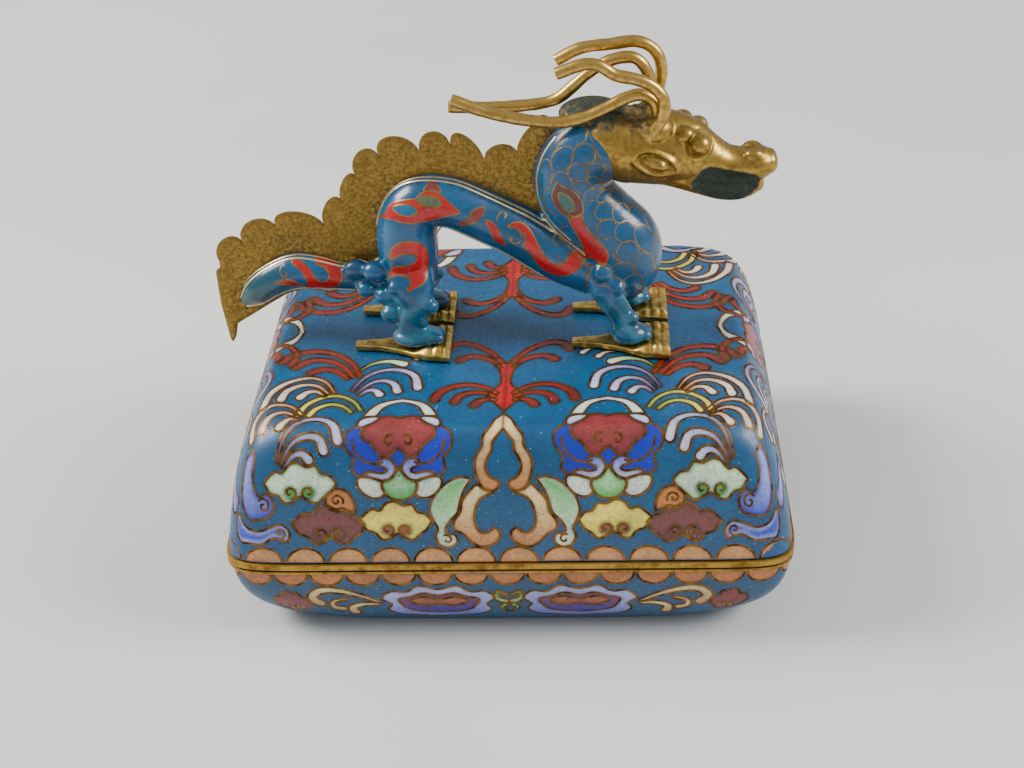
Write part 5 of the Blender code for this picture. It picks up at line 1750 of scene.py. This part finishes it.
HORN_BRASS = brass_material("horn_brass", screen(200, 162, 88), screen(150, 118, 60), 0.36, 900.0, 0.24, 0.2)
for name, line in HORNS.items():
    points, faces = wire_rod(line, HORN_RADIUS)
    make_piece(name + "_wire", raised(points), faces, HORN_BRASS, [name])

# %% [markdown]
# ## Feet
# Each paw stands on a small brass plate with a spur behind and three raised toes in front, beaten
# up from below. A closed section is carried along the foot: a flat underside, eased edges, and a
# top that swells into the toes.

# %% Feet
FOOT_LENGTH, FOOT_MIDDLE = 18.4, 6.5
FOOT_OUTLINE = [(0.0, 1.0), (5.0, 1.5), (9.5, 3.0), (13.6, 5.2), (FOOT_LENGTH, 5.8)]
REAR_FOOT_START, FRONT_FOOT_START = -29.2, 12.3
PLATE_THICKNESS, PLATE_BOTTOM = 1.2, 0.3
TOE_ACROSS, TOE_WIDTH, TOE_HEIGHT = (-3.8, 0.0, 3.8), 1.25, 1.35


def foot_plate(start, side):
    """Superellipse sections (w cos a, h sin a) whose upper half lifts over the toes.

    The lift is the greatest of three ridges, each h exp(-((y - y0) / s)^2) times a swell along
    the toe, with a groove cut across for the knuckle.
    """
    along = np.linspace(0.0, FOOT_LENGTH, 70)
    half = np.interp(along, *np.array(FOOT_OUTLINE).T)
    angle = angles(96)
    c, s = np.cos(angle), np.sin(angle)
    across = np.sign(c) * np.abs(c) ** 0.32
    up = np.sign(s) * np.abs(s) ** 0.32
    x = np.tile(along[:, None], (1, len(angle)))
    y = half[:, None] * across[None, :]
    thick = PLATE_THICKNESS / 2.0
    z = np.tile(thick * up[None, :], (len(along), 1))
    ridge = np.max([np.exp(-((y - toe) / TOE_WIDTH) ** 2) for toe in TOE_ACROSS], axis=0)
    swell = np.clip((x - 11.6) / 3.4, 0.0, 1.0) ** 0.8 * np.clip((18.9 - x) / 1.6, 0.0, 1.0) ** 0.6
    knuckle = 1.0 - 0.35 * np.exp(-((x - 15.0) / 0.45) ** 2) - 0.3 * np.exp(-((x - 17.0) / 0.4) ** 2)
    lift = TOE_HEIGHT * (0.25 + 0.75 * ridge) * swell * knuckle * (s[None, :] > 0.0) * np.abs(up[None, :])
    hammer = 0.06 * ripple(np.stack([x.ravel(), y.ravel(), z.ravel()], axis=1), 1.8, 4).reshape(x.shape)
    z = z + lift + hammer * (s[None, :] > 0.2)
    grid = np.stack([x + start, side * FOOT_MIDDLE + y, z + thick + PLATE_BOTTOM], axis=2)
    return capped(grid, *grid.mean(axis=1)[[0, -1]])


FOOT_BRASS = brass_material("foot_brass", screen(220, 184, 98), screen(128, 94, 42), 0.32, 420.0, 0.26)
for leg, start in (("rear", REAR_FOOT_START), ("front", FRONT_FOOT_START)):
    for place, side in (("near", -1.0), ("far", 1.0)):
        name = "foot_%s_%s" % (leg, place)
        points, faces = foot_plate(start, side)
        make_piece(name + "_plate", raised(points), faces, FOOT_BRASS, [name], sharp=60.0)

# %% [markdown]
# ## Floor, light and camera
# A pale floor and soft light from both sides show the glaze without hard shadows. The camera stands
# where the eye would, a little above the box, and looks down on the lid.

# %% Stage
FLOOR_REACH = 4.0


def build_stage():
    """A wide pale floor with a faint drift of tone."""
    material, nodes, shader = new_material("floor")
    tone = nodes.remap(nodes.noise(9.0, 2.0), 0.3, 0.7)
    colour = nodes.mix(tone, (0.60, 0.59, 0.57), (0.66, 0.65, 0.63))
    nodes.tree.links.new(colour, shader.inputs["Base Color"])
    shader.inputs["Roughness"].default_value = 0.9
    mesh = bpy.data.meshes.new("floor")
    corners = [(x * FLOOR_REACH, y * FLOOR_REACH, 0.0) for x, y in ((-1, -1), (1, -1), (1, 1), (-1, 1))]
    mesh.from_pydata(corners, [], [(0, 1, 2, 3)])
    mesh.materials.append(material)
    add_object("floor", mesh)


def soft_light(name, place, size, watts, colour):
    """A square area light that looks at the middle of the box."""
    data = bpy.data.lights.new(name, "AREA")
    data.energy, data.size, data.color = watts, size, colour
    lamp = add_object(name, data)
    lamp.location = place
    lamp.rotation_euler = (Vector(AIM) - Vector(place)).to_track_quat("-Z", "Y").to_euler()


build_stage()
AIM = (0.0, 0.0, 0.04)
soft_light("window", (-0.62, 0.05, 0.55), 0.35, 9.5, (1.0, 0.98, 0.95))
soft_light("fill", (0.66, -0.1, 0.5), 0.35, 7.0, (0.95, 0.97, 1.0))
world = bpy.data.worlds.new("room")
world.use_nodes = True
air = world.node_tree.nodes["Background"].inputs
air["Color"].default_value = (0.92, 0.95, 1.0, 1.0)
air["Strength"].default_value = 0.62
bpy.context.scene.world = world

# %% Camera
CAMERA_PLACE = Vector((0.017315, -0.269992, 0.211416))
CAMERA_DOWN = 33.759
CAMERA_LEFT = 3.687
CAMERA_ROLL = 2.84
LENS = 57.376


def build_camera():
    """A camera from its place, the angle that it looks down and left by, and its roll."""
    down, left, roll = (math.radians(v) for v in (CAMERA_DOWN, -CAMERA_LEFT, -CAMERA_ROLL))
    ahead = Vector((math.sin(left) * math.cos(down), math.cos(left) * math.cos(down), -math.sin(down)))
    right = Vector((math.cos(left), -math.sin(left), 0.0))
    up = right.cross(ahead)
    right_rolled = math.cos(roll) * right + math.sin(roll) * up
    up_rolled = -math.sin(roll) * right + math.cos(roll) * up
    data = bpy.data.cameras.new("camera")
    data.lens = LENS
    data.sensor_width = 36.0
    data.clip_start = 0.01
    camera = add_object("camera", data)
    turn = Matrix((right_rolled, up_rolled, -ahead)).transposed()
    camera.matrix_world = Matrix.Translation(CAMERA_PLACE) @ turn.to_4x4()
    bpy.context.scene.camera = camera


build_camera()

# %% Finish
bpy.context.view_layer.update()
